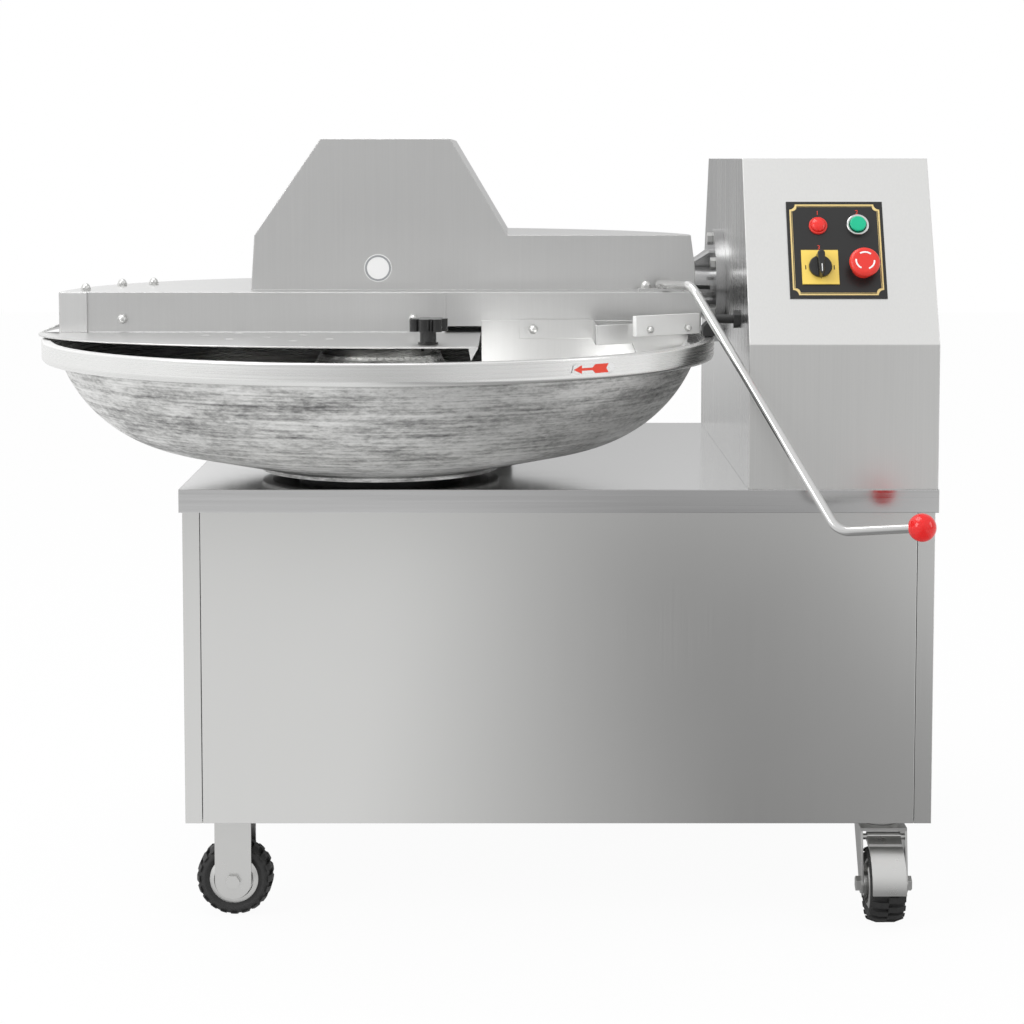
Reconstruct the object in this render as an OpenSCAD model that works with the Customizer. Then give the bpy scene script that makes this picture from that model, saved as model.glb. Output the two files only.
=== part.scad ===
// Bowl cutter on castors: a turning bowl, three sickle knives under a hinged hood,
// a sloped control tower and a cabinet that holds the two drives.
// The origin is on the floor, under the centre of the whole machine.

/* [Deck and cabinet] */
// Width of the deck
deck_w = 980; // [940:5:1100]
// Depth of the deck
deck_d = 765; // [740:5:900]
// Height of the deck's top face above the floor
deck_z = 575; // [560:1:580]
// Height of the deck's turned-down lip
deck_lip = 30; // [20:1:40]
// Thickness of the deck and tower sheet
sheet_t = 2; // [1.5:0.5:3]
// How far the cabinet's faces stand in from the lip
cab_inset = 4; // [3.5:0.5:8]
// Side of the frame's square tubes
tube_w = 22; // [20:1:30]
// Wall of the frame's square tubes
tube_t = 2; // [1.5:0.5:3]
// Thickness of the cabinet's panels
panel_t = 1.5; // [1:0.5:2]
// Depth of the fold round a panel's edge
panel_fold = 12; // [8:1:16]
// Gap beside a panel
panel_gap = 1; // [0.5:0.5:2]
// Thickness of the floor plate
floor_t = 3; // [2:1:6]

/* [Castors] */
// Height from the floor to the cabinet
castor_h = 136; // [130:1:145]
// Radius of a wheel
wheel_r = 50; // [45:1:52]
// Width of a tyre
tyre_w = 46; // [40:1:48]
// Radius of a wheel's hub
hub_r = 32; // [26:1:36]
// Width of a hub, and of the gap in a fork with its play
hub_w = 54; // [50:1:60]
// How far a castor's centre stands in from the deck's edges
castor_in = 62; // [60:1:90]
// How far a swivelling wheel trails behind its pivot
trail = 38; // [30:1:42]
// Thickness of the fork plates
fork_t = 3; // [2:0.5:4]
// Radius of a wheel's axle
axle_r = 6; // [5:0.5:8]

/* [Bowl] */
// Outer radius of the bowl's rim
bowl_r = 450; // [446:1:456]
// Height of the rim's top face
rim_z = 762; // [758:1:764]
// Height of the rim's band
rim_h = 28; // [20:1:32]
// Width of the rim's top face
rim_w = 13; // [8:1:16]
// Distance from the deck's left edge to the bowl's axis
bowl_from_left = 251.4; // [240:0.2:270]
// Distance from the deck's front edge to the bowl's axis
bowl_from_front = 170; // [150:1:190]
// Radius of the circle that the trough's centre makes
trough_pitch = 248; // [244:1:250]
// Radius of the trough's round bottom
trough_r = 184; // [183:0.5:186]
// Radius of the bowl's outside, seen in section
skin_r = 189; // [187:1:192]
// How far the outside's centre lies below the trough's centre
skin_drop = 15; // [12:1:18]
// Slope of the bowl's bottom near its foot, in degrees
foot_slope = 12.4; // [10:0.2:15]
// Outer radius of the foot ring
foot_r = 160; // [140:1:180]
// Width of the foot ring
foot_w = 14; // [10:1:20]
// Gap between the foot ring and the deck
foot_gap = 8; // [6:1:10]
// How far the hub's top lies below the rim
hub_low = 14; // [10:1:20]
// Wall of the bowl under the hub
hub_wall = 14; // [10:1:16]
// Radius of the bowl's spindle
spindle_r = 20; // [16:1:22]

/* [Knives] */
// Height of the knife shaft
shaft_z = 816; // [814:1:818]
// Radius of the knife shaft
shaft_r = 15; // [12:0.5:16]
// Radius that the knife tips sweep
knife_r = 180; // [170:1:181]
// Thickness of a knife
knife_t = 4; // [3:0.5:5]
// Thickness of the collars between the knives
collar_t = 12; // [8:1:16]
// Radius of the collars
collar_r = 24; // [20:1:26]
// Outer radius of the shaft's housing
housing_r = 32.5; // [31:0.5:34]
// Radius of the housing's flange
flange_r = 82; // [76:1:88]
// Thickness of the housing's flange
flange_t = 14; // [10:1:18]
// Radius of the circle of flange bolts
flange_bolts_r = 68; // [60:1:70]

/* [Tower] */
// Width of the tower
tower_w = 244.6; // [230:0.2:246]
// Distance from the deck's left edge to the tower
tower_from_left = 734.4; // [725:0.2:734.4]
// How far the tower's front and back stand in from the deck's edge
tower_in = 3; // [2:0.5:8]
// Height at which the tower's front and back start to lean in
kink_z = 762; // [740:1:780]
// Height of the tower's top
tower_z = 1000; // [980:1:1010]
// How far the tower's front and back lean in
tower_lean = 116; // [90:1:130]
// Width of the control plate
plate_w = 126; // [120:1:150]
// Height of the control plate
plate_h = 137; // [130:1:170]

/* [Lid] */
// Outer radius of the lid
lid_r = 434; // [433.5:0.5:436]
// Thickness of the lid's sheet
lid_t = 2; // [1.5:0.5:2]
// Gap between the rim and the lid
lid_gap = 2; // [1.5:0.5:4]
// Height of the lid's flat top
lid_z = 820; // [816:1:824]
// Height of the hood's crown
hood_z = 1027; // [1020:1:1040]
// Height of the hood's shoulders
shoulder_z = 895; // [885:1:905]
// Distance from the bowl's axis back to the hood's front
hood_front = 60; // [56:1:61]
// How far the guard plate's tip reaches past the rim
tip_reach = 10; // [6:1:14]
// How far the guard plate reaches in front of the bowl's axis
guard_d = 252; // [230:1:260]
// Distance from the bowl's axis back to the hinge
hinge_back = 455; // [452:1:460]
// Height of the hinge
hinge_z = 774; // [772:1:778]
// Distance from the bowl's axis to each hinge
hinge_side = 160; // [140:1:180]
// Radius of the hinge pins
pin_r = 6; // [5:0.5:8]
// Radius of the lever's rod
lever_r = 6; // [5:0.5:7]
// Radius of the lever's ball
ball_r = 17.5; // [15:0.5:20]

/* [Hidden] */
$fn = 72;

// One overrun for every cut, and the plays that fits use
over = 1;
fit_gap = 0.05;
loose_gap = 0.3;
seat_gap = 0.3;

// The machine's frame: its left extreme is the guard plate's tip, its front extreme is the rim
left_over = bowl_r + tip_reach - bowl_from_left;
front_over = bowl_r - bowl_from_front;
deck_x = (left_over - deck_w) / 2;
deck_y = (front_over - deck_d) / 2;
bowl_x = deck_x + bowl_from_left;
bowl_y = deck_y + bowl_from_front;

// Cabinet
cab_x = deck_x + cab_inset;
cab_y = deck_y + cab_inset;
cab_w = deck_w - 2 * cab_inset;
cab_d = deck_d - 2 * cab_inset;
cab_top = deck_z - sheet_t;
cab_h = cab_top - castor_h;
floor_top = castor_h + floor_t;
louvre_w = 80;
louvre_h = 5;
louvre_r = 7;
louvre_step = 26;
louvre_columns = 3;
louvre_rows = 6;

// Bowl section
trough_z = shaft_z;
skin_z = trough_z - skin_drop;
rim_low = rim_z - rim_h;
rim_round = 6;
rim_edge = 1;
foot_z = deck_z + foot_gap;
skin_top_deg = acos((skin_z - rim_low) / skin_r);
slope_r = trough_pitch + skin_r * sin(foot_slope);
slope_z = skin_z - skin_r * cos(foot_slope);
lip_drop = 12;
hub_drop = 10;
hub_edge = 15;
trough_top_deg = acos((trough_z - rim_z + lip_drop) / trough_r);
hub_z = rim_z - hub_low;
hub_top_deg = acos((trough_z - hub_z + hub_drop) / trough_r);
under_r = trough_r + hub_wall;
foot_in = foot_r - foot_w;
under_foot_deg = asin((trough_pitch - foot_in) / under_r);
under_top_deg = 66;
boss_r = 30;
boss_flange_r = 62;
boss_flange_t = 12;
spindle_flange_t = 12;
arc_steps = 18;

// Bowl drive: the bearing housing's flange lies on the deck, inside the foot ring
bearing_flange_r = 110;
bearing_flange_t = 12;
bearing_body_r = 45;
bearing_body_h = 170;
spindle_bearing_r = 34;
spindle_bearing_t = 16;
spindle_play = 2;
flange_play = 6;
spindle_flange_z = deck_z + bearing_flange_t + flange_play;
boss_z = spindle_flange_z + spindle_flange_t;
housing_bottom = deck_z - bearing_body_h;
gearbox_w = 150;
gearbox_d = 130;
gearbox_h = 140;
gearbox_bore_h = 110;
spindle_end_z = housing_bottom - gearbox_bore_h + 2 * spindle_play;
bowl_motor_r = 62;
bowl_motor_l = 140;
cap_r = 34;
cap_h = 10;

// Knife shaft, from the nut at the left to the pulley in the tower
shaft_y = bowl_y + trough_pitch;
knife_pitch = knife_t + collar_t;
knife_count = 3;
stack_half = (knife_count * knife_t + (knife_count + 1) * collar_t) / 2;
nut_t = 16;
nut_r = 24;
shaft_stub = 4;
shoulder_t = 16;
shaft_left = bowl_x - stack_half - nut_t - shaft_stub;
housing_left = bowl_x + stack_half + shoulder_t + 4 * over;
tower_x = deck_x + tower_from_left;
housing_inside = 30;
housing_right = tower_x + sheet_t + housing_inside;
shaft_bearing_r = 27.5;
shaft_bearing_t = 13;
shaft_play = 3;
gusset_count = 6;
gusset_l = 42;
gusset_t = 6;
gusset_r = 58;
bolt_r = 5;
bolt_head_r = 9;
bolt_head_t = 7;

// Belt drive from the main motor up to the shaft
groove_count = 3;
groove_pitch = 14;
groove_deep = 12;
groove_top = 13;
groove_floor = 9;
pulley_r = 60;
motor_pulley_r = 82;
pulley_w = groove_count * groove_pitch + 4;
pulley_x = housing_right + 8;
belt_w = 8;
belt_t = 9;
belt_lift = 0.35;
pulley_end = pulley_x + pulley_w;
shaft_right = pulley_end + shaft_stub;
motor_r = 90;
motor_l = 250;
motor_axis_h = 112;
motor_z = floor_top + motor_axis_h;
motor_shaft_r = 14;
motor_gap = 12;
motor_x = pulley_x - motor_gap - motor_l;
motor_bore = 40;
motor_foot_t = 10;
motor_foot_w = 180;
motor_foot_l = 170;
belt_span = shaft_z - motor_z;
belt_open_margin = 14;

// Tower
tower_y0 = deck_y + tower_in;
tower_y1 = deck_y + deck_d - tower_in;
tower_cx = tower_x + tower_w / 2;
tower_outline = [[tower_y0, deck_z], [tower_y1, deck_z], [tower_y1, kink_z],
    [tower_y1 - tower_lean, tower_z], [tower_y0 + tower_lean, tower_z], [tower_y0, kink_z]];
slope_run = norm([tower_lean, tower_z - kink_z]);
slope_deg = atan(tower_lean / (tower_z - kink_z));
cover_w = 180;
cover_h = 130;
cover_edge = 12;

// Controls, placed from the control plate's centre on the slope
plate_t = 2;
plate_shift = -4.5;
lamp_at = [-22.5, 33.5];
start_at = [29, 33.5];
switch_at = [-22.5, -25.5];
stop_at = [33, -25.5];
stem_r = 8;
stem_l = 26;
bezel_r = 14.75;
bezel_h = 6;
lamp_bezel_r = 12;
lamp_dome_r = 9.5;
button_r = 10.5;
button_rise = 3;
start_travel = 3;
switch_side = 48;
switch_plate_t = 2;
switch_boss_r = 15;
switch_boss_h = 5;
switch_handle_w = 9;
switch_handle_l = 38;
switch_handle_h = 13;
collar_out_r = 15;
collar_h = 6;
stop_r = 20;
stop_neck_h = 8;
stop_head_h = 12;
stop_travel = 5;

// Lid and hood, placed from the bowl's axis
lid_low = rim_z + lid_gap;
hood_foot_left = -181;
hood_foot_right = 434;
hood_shoulder_left = -176;
hood_crown_left = -84.5;
hood_crown_right = 93.5;
hood_shoulder_right = 172;
hood_shoulder_end = 424;
hood_outline = [[hood_foot_left, lid_z], [hood_foot_right, lid_z], [hood_shoulder_end, shoulder_z],
    [hood_shoulder_right, shoulder_z], [hood_crown_right, hood_z], [hood_crown_left, hood_z],
    [hood_shoulder_left, shoulder_z]];
hood_seat = 4;
lid_front_drop = 46;
notch_front = 8;
notch_back = 22;
drip_rise = 12;
drip_start = 125;
guard_right = 136;
strip_left = -396;
strip_right = 88;
guard_z = lid_low + lid_t;
guard_hole_r = 2.5;
guard_hole_l = 12;
guard_hole_shares = [[-0.52, -0.22], [-0.43, -0.08], [-0.43, -0.49], [-0.33, -0.36],
    [-0.23, -0.22], [-0.24, -0.62], [-0.14, -0.49]];
lip_w = 12;
lip_h = 16;
knob_x = 72;
knob_y = -203;
knob_r = 25;
knob_h = 16;
knob_lobes = 7;
knob_lobe_r = 7;
knob_hub_r = 10.5;
knob_hub_h = 14;
knob_stud_r = 4;
knob_washer_r = 13;
knob_washer_t = 2;
knob_nut_r = 9;
knob_nut_h = 7;

// Splash baffle and the scraper on its right
baffle_left = guard_right + 1;
baffle_right = 416;
baffle_z = 705;
baffle_top = 782;
baffle_gap = 6;
adjust_left = 188;
adjust_right = 289;
adjust_low = 757;
adjust_high = 783;
adjust_slot_x = 203;
slot_l = 16;
slot_r = 4;
adjust_reach = 106;
scraper_turn = 35;
wing_l = 150;
bend_share = 0.8;
scraper_from = 58;
scraper_to = 165;
scraper_t = 8;
scraper_low = 766;
scraper_high = 793;
deflector_to = 146;
deflector_low_to = 126;
deflector_z = 728;
scraper_screws = [22, 86];
screw_r = 4.5;
screw_l = 14;
screw_h = 5;

// Nuts on the lid, from the bowl's axis
lid_nut_places = [[-405, 40], [-375, 160], [-335, 190], [361, 30], [404, 30]];
lid_nut_r = 6;
lid_nut_h = 8;
strip_bolt_places = [-348, 45];
strip_bolt_z = 784;

// Hinge
hinge_x = [bowl_x - hinge_side, bowl_x + hinge_side];
hinge_y = bowl_y + hinge_back;
knuckle_r = 12;
knuckle_w = 24;
ear_t = 6;
ear_play = 0.5;
stand_w = knuckle_w + 2 * (ear_t + ear_play);
stand_d = 30;
stand_base = 80;
stand_base_t = 5;
leaf_t = 6;
leaf_h = 34;

// Lever, from the lid's top over the rim to the ball in front of the tower
lug_w = 62;
lug_d = 28;
lug_t = 4;
lug_at = [350, 16];
lever_sink = 1;
weld_bead = 0.25;
lever_start = [bowl_x + 380, bowl_y + 30, lid_z + lug_t + lever_r - lever_sink];
lever_bend = [bowl_x + 412, bowl_y - 110, lid_z + 15];
lever_elbow = [bowl_x + 580, bowl_y - 300, lid_z - 279];
lever_ball = [bowl_x + 680, bowl_y - 323, lid_z - 270];

// Guide that keeps the rim from lifting, on a stud in the tower's side
guide_w = 20;
guide_d = 34;
guide_h = 20;
guide_chamfer = 8;
guide_y = bowl_y - 20;
guide_x = bowl_x + bowl_r - guide_w + 4;
guide_stud_r = 6;
guide_stud_z = rim_z + 23;

// Electrical box, gland and castor details
box_w = 200;
box_d = 100;
box_h = 240;
gland_r = 11;
gland_bore_r = 6;
gland_hex_r = 14;
gland_hex_h = 8;
gland_nose_h = 14;
gland_nut_h = 5;
gland_at = [140, -90];
pad_w = 100;
pad_d = 85;
pad_t = 4;
fork_play = 0.5;
fork_w = 48;
swivel_fork_w = 44;
race_r = 24;
race_h = 8;
king_r = 6;
head_t = 3;
crown_t = 4;
axle_head_r = 10;
axle_head_t = 6;
lug_count = 20;
lug_depth = 4;
lug_share = 0.55;
tyre_shoulder = 6;
tread_r = wheel_r - lug_depth;
nave_r = 16;
dish_r = hub_r - tyre_shoulder;
brake_gap = 3;
brake_t = 3;
brake_w = 44;
brake_pin_r = 4;
brake_pin_at = [6, 61];
brake_eye_r = 6.5;
brake_web = 14;

castor_left = deck_x + castor_in;
castor_right = deck_x + deck_w - castor_in;
castor_front = deck_y + castor_in;
castor_back = deck_y + deck_d - castor_in;

// A closed outline moved inwards by t, its points running anticlockwise
function unit(v) = v / norm(v);
function inset(p, t) = [for (i = [0 : len(p) - 1])
    let (b = p[i], u = unit(b - p[(i + len(p) - 1) % len(p)]), v = unit(p[(i + 1) % len(p)] - b))
        b + (t / (1 + u * v)) * [-u[1] - v[1], u[0] + v[0]]];

// Points of an arc about c, with its angle counted from straight down
function arc(c, r, from, to, steps) = [for (i = [0 : steps])
    let (a = from + (to - from) * i / steps) c + r * [sin(a), -cos(a)]];

module at_bowl() translate([bowl_x, bowl_y, 0]) children();
module along_x() rotate([0, 90, 0]) children();
module along_y() rotate([-90, 0, 0]) children();
module side_profile() rotate([90, 0, 90]) children();
module front_profile() rotate([90, 0, 0]) children();

// A rod between two points
module rod(p, q, r) {
    d = q - p;
    translate(p) rotate([0, acos(d[2] / norm(d)), atan2(d[1], d[0])]) cylinder(r = r, h = norm(d));
}

// A square tube along +Z
module square_tube(h) difference() {
    cube([tube_w, tube_w, h]);
    translate([tube_t, tube_t, -over]) cube([tube_w - 2 * tube_t, tube_w - 2 * tube_t, h + 2 * over]);
}

// A panel with its face at y = 0 and its edges folded back
module panel(w, h) difference() {
    cube([w, panel_fold, h]);
    translate([panel_t, panel_t, panel_t])
        cube([w - 2 * panel_t, panel_fold, h - 2 * panel_t]);
}

module corner_posts() color("silver")
    for (x = [cab_x, cab_x + cab_w - tube_w], y = [cab_y, cab_y + cab_d - tube_w])
        translate([x, y, castor_h]) square_tube(cab_h);

module frame_rails() color("gray") {
    long = cab_w - 2 * tube_w;
    deep = cab_d - 2 * (panel_fold + tube_w);
    for (z = [floor_top, cab_top - tube_w]) {
        for (y = [cab_y + panel_fold, cab_y + cab_d - panel_fold - tube_w])
            translate([cab_x + tube_w, y, z + tube_w]) along_x() square_tube(long);
        for (x = [cab_x + panel_fold, cab_x + cab_w - panel_fold - tube_w])
            translate([x, cab_y + panel_fold + tube_w, z + tube_w]) along_y() square_tube(deep);
    }
}

module floor_plate() color("gray") difference() {
    translate([cab_x + panel_fold, cab_y + panel_fold, castor_h])
        cube([cab_w - 2 * panel_fold, cab_d - 2 * panel_fold, floor_t]);
    for (x = [cab_x, cab_x + cab_w - tube_w], y = [cab_y, cab_y + cab_d - tube_w])
        translate([x, y, castor_h - over]) cube([tube_w, tube_w, floor_t + 2 * over]);
    translate([castor_left + gland_at[0], castor_back + gland_at[1], castor_h - over])
        cylinder(r = gland_r + fit_gap, h = floor_t + 2 * over);
}

module front_panel() color("lightgray")
    translate([cab_x + tube_w + panel_gap, cab_y, castor_h])
        panel(cab_w - 2 * (tube_w + panel_gap), cab_h);

module side_panels() color("lightgray") {
    long = cab_d - 2 * (tube_w + panel_gap);
    translate([cab_x, cab_y + cab_d - tube_w - panel_gap, castor_h])
        rotate([0, 0, -90]) panel(long, cab_h);
    translate([cab_x + cab_w, cab_y + tube_w + panel_gap, castor_h])
        rotate([0, 0, 90]) panel(long, cab_h);
}

// A louvre pressed into a panel whose face is at y = 0, a little wider than its slot
module louvre_hood() translate([-panel_t, panel_t / 2, 0]) along_x() difference() {
    cylinder(r = louvre_r, h = louvre_w + 2 * panel_t);
    translate([0, 0, panel_t]) cylinder(r = louvre_r - panel_t, h = louvre_w);
    translate([0, -louvre_r - over, -over])
        cube([louvre_r + over, 2 * (louvre_r + over), louvre_w + 4 * over + 2 * panel_t]);
    translate([-louvre_r - over, -louvre_r - over, -over])
        cube([2 * (louvre_r + over), louvre_r + over, louvre_w + 4 * over + 2 * panel_t]);
}

module rear_panel() color("lightgray") {
    long = cab_w - 2 * (tube_w + panel_gap);
    column_step = long / (louvre_columns + 1);
    low = cab_h / 2 - louvre_rows * louvre_step / 2;
    translate([cab_x + cab_w - tube_w - panel_gap, cab_y + cab_d, castor_h]) rotate([0, 0, 180]) {
        difference() {
            panel(long, cab_h);
            for (i = [1 : louvre_columns], j = [0 : louvre_rows - 1])
                translate([i * column_step - louvre_w / 2, -over, low + j * louvre_step])
                    cube([louvre_w, panel_t + 2 * over, louvre_h]);
        }
        for (i = [1 : louvre_columns], j = [0 : louvre_rows - 1])
            translate([i * column_step - louvre_w / 2, 0, low + j * louvre_step]) louvre_hood();
    }
}

module deck() color("gainsboro") difference() {
    translate([deck_x, deck_y, deck_z - deck_lip]) cube([deck_w, deck_d, deck_lip]);
    translate([deck_x + sheet_t, deck_y + sheet_t, deck_z - deck_lip - over])
        cube([deck_w - 2 * sheet_t, deck_d - 2 * sheet_t, deck_lip - sheet_t + over]);
    at_bowl() translate([0, 0, cab_top - over])
        cylinder(r = bearing_body_r + loose_gap, h = sheet_t + 2 * over);
    translate([pulley_x - belt_open_margin, shaft_y - motor_pulley_r - belt_open_margin, cab_top - over])
        cube([pulley_w + 2 * belt_open_margin, 2 * (motor_pulley_r + belt_open_margin), sheet_t + 2 * over]);
}

// Moves its children onto the tower's sloped front: x across, y up the slope, z outwards
module on_slope() translate([tower_cx + plate_shift, tower_y0, kink_z]) rotate([90 - slope_deg, 0, 0])
    translate([0, slope_run / 2, 0]) children();

module tower_shell() color("lightgray") difference() {
    translate([tower_x, 0, 0]) side_profile() linear_extrude(tower_w) polygon(tower_outline);
    translate([tower_x + sheet_t, 0, 0]) side_profile() linear_extrude(tower_w - 2 * sheet_t)
        polygon(inset(concat([[tower_y0, deck_z - 2 * sheet_t], [tower_y1, deck_z - 2 * sheet_t]],
            [for (i = [2 : 5]) tower_outline[i]]), sheet_t));
    translate([tower_x - over, shaft_y, shaft_z]) along_x()
        cylinder(r = housing_r + loose_gap, h = sheet_t + 2 * over);
    translate([tower_cx - cover_w / 2 + cover_edge, tower_y1 - sheet_t - over,
        (deck_z + kink_z - cover_h) / 2 + cover_edge])
        cube([cover_w - 2 * cover_edge, sheet_t + 2 * over, cover_h - 2 * cover_edge]);
    on_slope() for (p = [lamp_at, start_at, switch_at, stop_at])
        translate([p[0], p[1], -sheet_t - over]) cylinder(r = stem_r + loose_gap, h = sheet_t + 2 * over);
}

module tower_rear_cover() color("silver")
    translate([tower_cx - cover_w / 2, tower_y1, (deck_z + kink_z - cover_h) / 2])
        cube([cover_w, panel_t, cover_h]);

module control_plate() color("black") on_slope() difference() {
    translate([-plate_w / 2, -plate_h / 2, 0]) cube([plate_w, plate_h, plate_t]);
    for (p = [lamp_at, start_at, switch_at, stop_at])
        translate([p[0], p[1], -over]) cylinder(r = stem_r + loose_gap, h = plate_t + 2 * over);
}

module lamp() color("red") on_slope() translate([lamp_at[0], lamp_at[1], plate_t]) {
    cylinder(r = lamp_bezel_r, h = bezel_h / 2);
    translate([0, 0, bezel_h / 2]) cylinder(r = lamp_dome_r, h = bezel_h);
    translate([0, 0, -stem_l]) cylinder(r = stem_r, h = stem_l);
}

module start_bezel() color("white") on_slope() translate([start_at[0], start_at[1], plate_t])
    difference() {
        cylinder(r = bezel_r, h = bezel_h);
        translate([0, 0, bezel_h / 2]) cylinder(r = button_r + loose_gap, h = bezel_h);
        translate([0, 0, -over]) cylinder(r = stem_r + loose_gap, h = bezel_h);
    }

module switch_plate() color("gold") on_slope() translate([switch_at[0], switch_at[1], plate_t])
    difference() {
        translate([-switch_side / 2, -switch_side / 2, 0])
            cube([switch_side, switch_side, switch_plate_t]);
        translate([0, 0, -over]) cylinder(r = stem_r + loose_gap, h = switch_plate_t + 2 * over);
    }

module stop_collar() color("dimgray") on_slope() translate([stop_at[0], stop_at[1], plate_t])
    difference() {
        cylinder(r = collar_out_r, h = collar_h);
        translate([0, 0, -over]) cylinder(r = stem_r + loose_gap, h = collar_h + 2 * over);
    }

module start_button() color("green") on_slope() translate([start_at[0], start_at[1], plate_t]) {
    translate([0, 0, bezel_h / 2 + start_travel + seat_gap])
        cylinder(r = button_r, h = bezel_h / 2 - start_travel + button_rise + seat_gap);
    translate([0, 0, -stem_l]) cylinder(r = stem_r, h = stem_l + bezel_h / 2 + start_travel + seat_gap);
}

module switch_knob() color("black") on_slope()
    translate([switch_at[0], switch_at[1], plate_t + switch_plate_t]) {
        translate([0, 0, seat_gap]) cylinder(r = switch_boss_r, h = switch_boss_h);
        translate([-switch_handle_w / 2, -switch_handle_l / 2, seat_gap + switch_boss_h])
            cube([switch_handle_w, switch_handle_l, switch_handle_h]);
        translate([0, 0, -stem_l]) cylinder(r = stem_r, h = stem_l + seat_gap);
    }

module stop_button() color("red") on_slope() translate([stop_at[0], stop_at[1], plate_t]) {
    head_z = collar_h + stop_travel + seat_gap;
    translate([0, 0, head_z]) cylinder(r1 = collar_out_r, r2 = stop_r, h = stop_head_h / 3);
    translate([0, 0, head_z + stop_head_h / 3]) cylinder(r = stop_r, h = stop_head_h / 3);
    translate([0, 0, head_z + 2 * stop_head_h / 3])
        cylinder(r1 = stop_r, r2 = stop_r - stop_head_h / 3, h = stop_head_h / 3);
    translate([0, 0, -stem_l]) cylinder(r = stem_r, h = stem_l + head_z);
}

// Knife shaft's housing with its flange on the tower's side
module gusset() rotate([-90, 0, 0]) translate([0, 0, -gusset_t / 2]) linear_extrude(gusset_t)
    polygon([[-gusset_l, 0], [over, 0], [over, gusset_r], [-gusset_l / 6, gusset_r],
        [-gusset_l, housing_r - over]]);

module shaft_housing() color("silver") translate([0, shaft_y, shaft_z]) {
    difference() {
        union() {
            translate([housing_left, 0, 0]) along_x()
                cylinder(r = housing_r, h = housing_right - housing_left);
            translate([tower_x - flange_t, 0, 0]) along_x() cylinder(r = flange_r, h = flange_t);
            for (i = [0 : gusset_count - 1])
                rotate([(i + 0.5) * 360 / gusset_count, 0, 0]) translate([tower_x - flange_t, 0, 0]) gusset();
        }
        translate([housing_left - over, 0, 0]) along_x()
            cylinder(r = shaft_r + shaft_play, h = housing_right - housing_left + 2 * over);
        translate([housing_left - over, 0, 0]) along_x()
            cylinder(r = shaft_bearing_r, h = shaft_bearing_t + over);
        translate([housing_right - shaft_bearing_t, 0, 0]) along_x()
            cylinder(r = shaft_bearing_r, h = shaft_bearing_t + over);
        for (i = [0 : gusset_count - 1])
            rotate([i * 360 / gusset_count, 0, 0]) translate([tower_x - flange_t - over, 0, flange_bolts_r])
                along_x() cylinder(r = bolt_r + fit_gap, h = flange_t + 2 * over);
    }
}

module housing_bolts() color("silver") translate([0, shaft_y, shaft_z])
    for (i = [0 : gusset_count - 1])
        rotate([i * 360 / gusset_count, 0, 0]) translate([tower_x - flange_t, 0, flange_bolts_r]) along_x() {
            cylinder(r = bolt_r, h = flange_t);
            translate([0, 0, -bolt_head_t]) cylinder(r = bolt_head_r, h = bolt_head_t, $fn = 6);
        }

module ring(r_out, r_in, h) difference() {
    cylinder(r = r_out, h = h);
    translate([0, 0, -over]) cylinder(r = r_in, h = h + 2 * over);
}

module shaft_bearings() color("lightsteelblue") translate([0, shaft_y, shaft_z])
    for (x = [housing_left, housing_right - shaft_bearing_t])
        translate([x, 0, 0]) along_x()
            ring(shaft_bearing_r - fit_gap, shaft_r + fit_gap, shaft_bearing_t);

module knife_shaft() color("silver") translate([0, shaft_y, shaft_z]) {
    translate([shaft_left, 0, 0]) along_x() cylinder(r = shaft_r, h = shaft_right - shaft_left);
    translate([bowl_x + stack_half, 0, 0]) along_x() cylinder(r = collar_r, h = shoulder_t);
}

// A sickle knife, flat, its hub at the origin and its tip at the top
module knife_outline() difference() {
    union() {
        circle(r = collar_r + 4 * over);
        intersection() {
            translate([0, knife_r / 2 - collar_r / 2]) circle(r = knife_r / 2 + collar_r / 2);
            difference() {
                translate([-knife_r / 4, knife_r / 2 - collar_r / 2]) circle(r = knife_r / 2 + collar_r / 2);
                translate([knife_r / 1.6, knife_r / 2]) circle(r = knife_r / 1.9);
            }
        }
    }
    circle(r = shaft_r + fit_gap);
}

module knives() color("lightsteelblue") translate([bowl_x, shaft_y, shaft_z])
    for (i = [0 : knife_count - 1])
        rotate([i * 360 / knife_count, 0, 0])
            translate([(i - (knife_count - 1) / 2) * knife_pitch - knife_t / 2, 0, 0])
                side_profile() linear_extrude(knife_t) knife_outline();

module knife_collars() color("silver") translate([bowl_x, shaft_y, shaft_z]) {
    for (i = [0 : knife_count])
        translate([i * knife_pitch - stack_half, 0, 0]) along_x() ring(collar_r, shaft_r + fit_gap, collar_t);
    translate([-stack_half - nut_t, 0, 0]) along_x() difference() {
        cylinder(r = nut_r, h = nut_t, $fn = 6);
        translate([0, 0, -over]) cylinder(r = shaft_r + fit_gap, h = nut_t + 2 * over);
    }
}

// A pulley with V grooves, turned about Z
module pulley(r, bore) rotate_extrude() polygon(concat([[bore, 0], [r, 0]],
    [for (i = [0 : groove_count - 1], p = [[-groove_top / 2, 0], [-groove_floor / 2, -groove_deep],
        [groove_floor / 2, -groove_deep], [groove_top / 2, 0]])
        [r + p[1], (pulley_w - groove_count * groove_pitch) / 2 + (i + 0.5) * groove_pitch + p[0]]],
    [[r, pulley_w], [bore, pulley_w]]));

module shaft_pulley() color("dimgray") translate([pulley_x, shaft_y, shaft_z]) along_x()
    pulley(pulley_r, shaft_r + fit_gap);

module motor_pulley() color("dimgray") translate([pulley_x, shaft_y, motor_z]) along_x() {
    pulley(motor_pulley_r, motor_shaft_r + fit_gap);
    translate([0, 0, -motor_gap - motor_bore + over])
        cylinder(r = motor_shaft_r, h = motor_gap + motor_bore + pulley_w);
}

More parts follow.
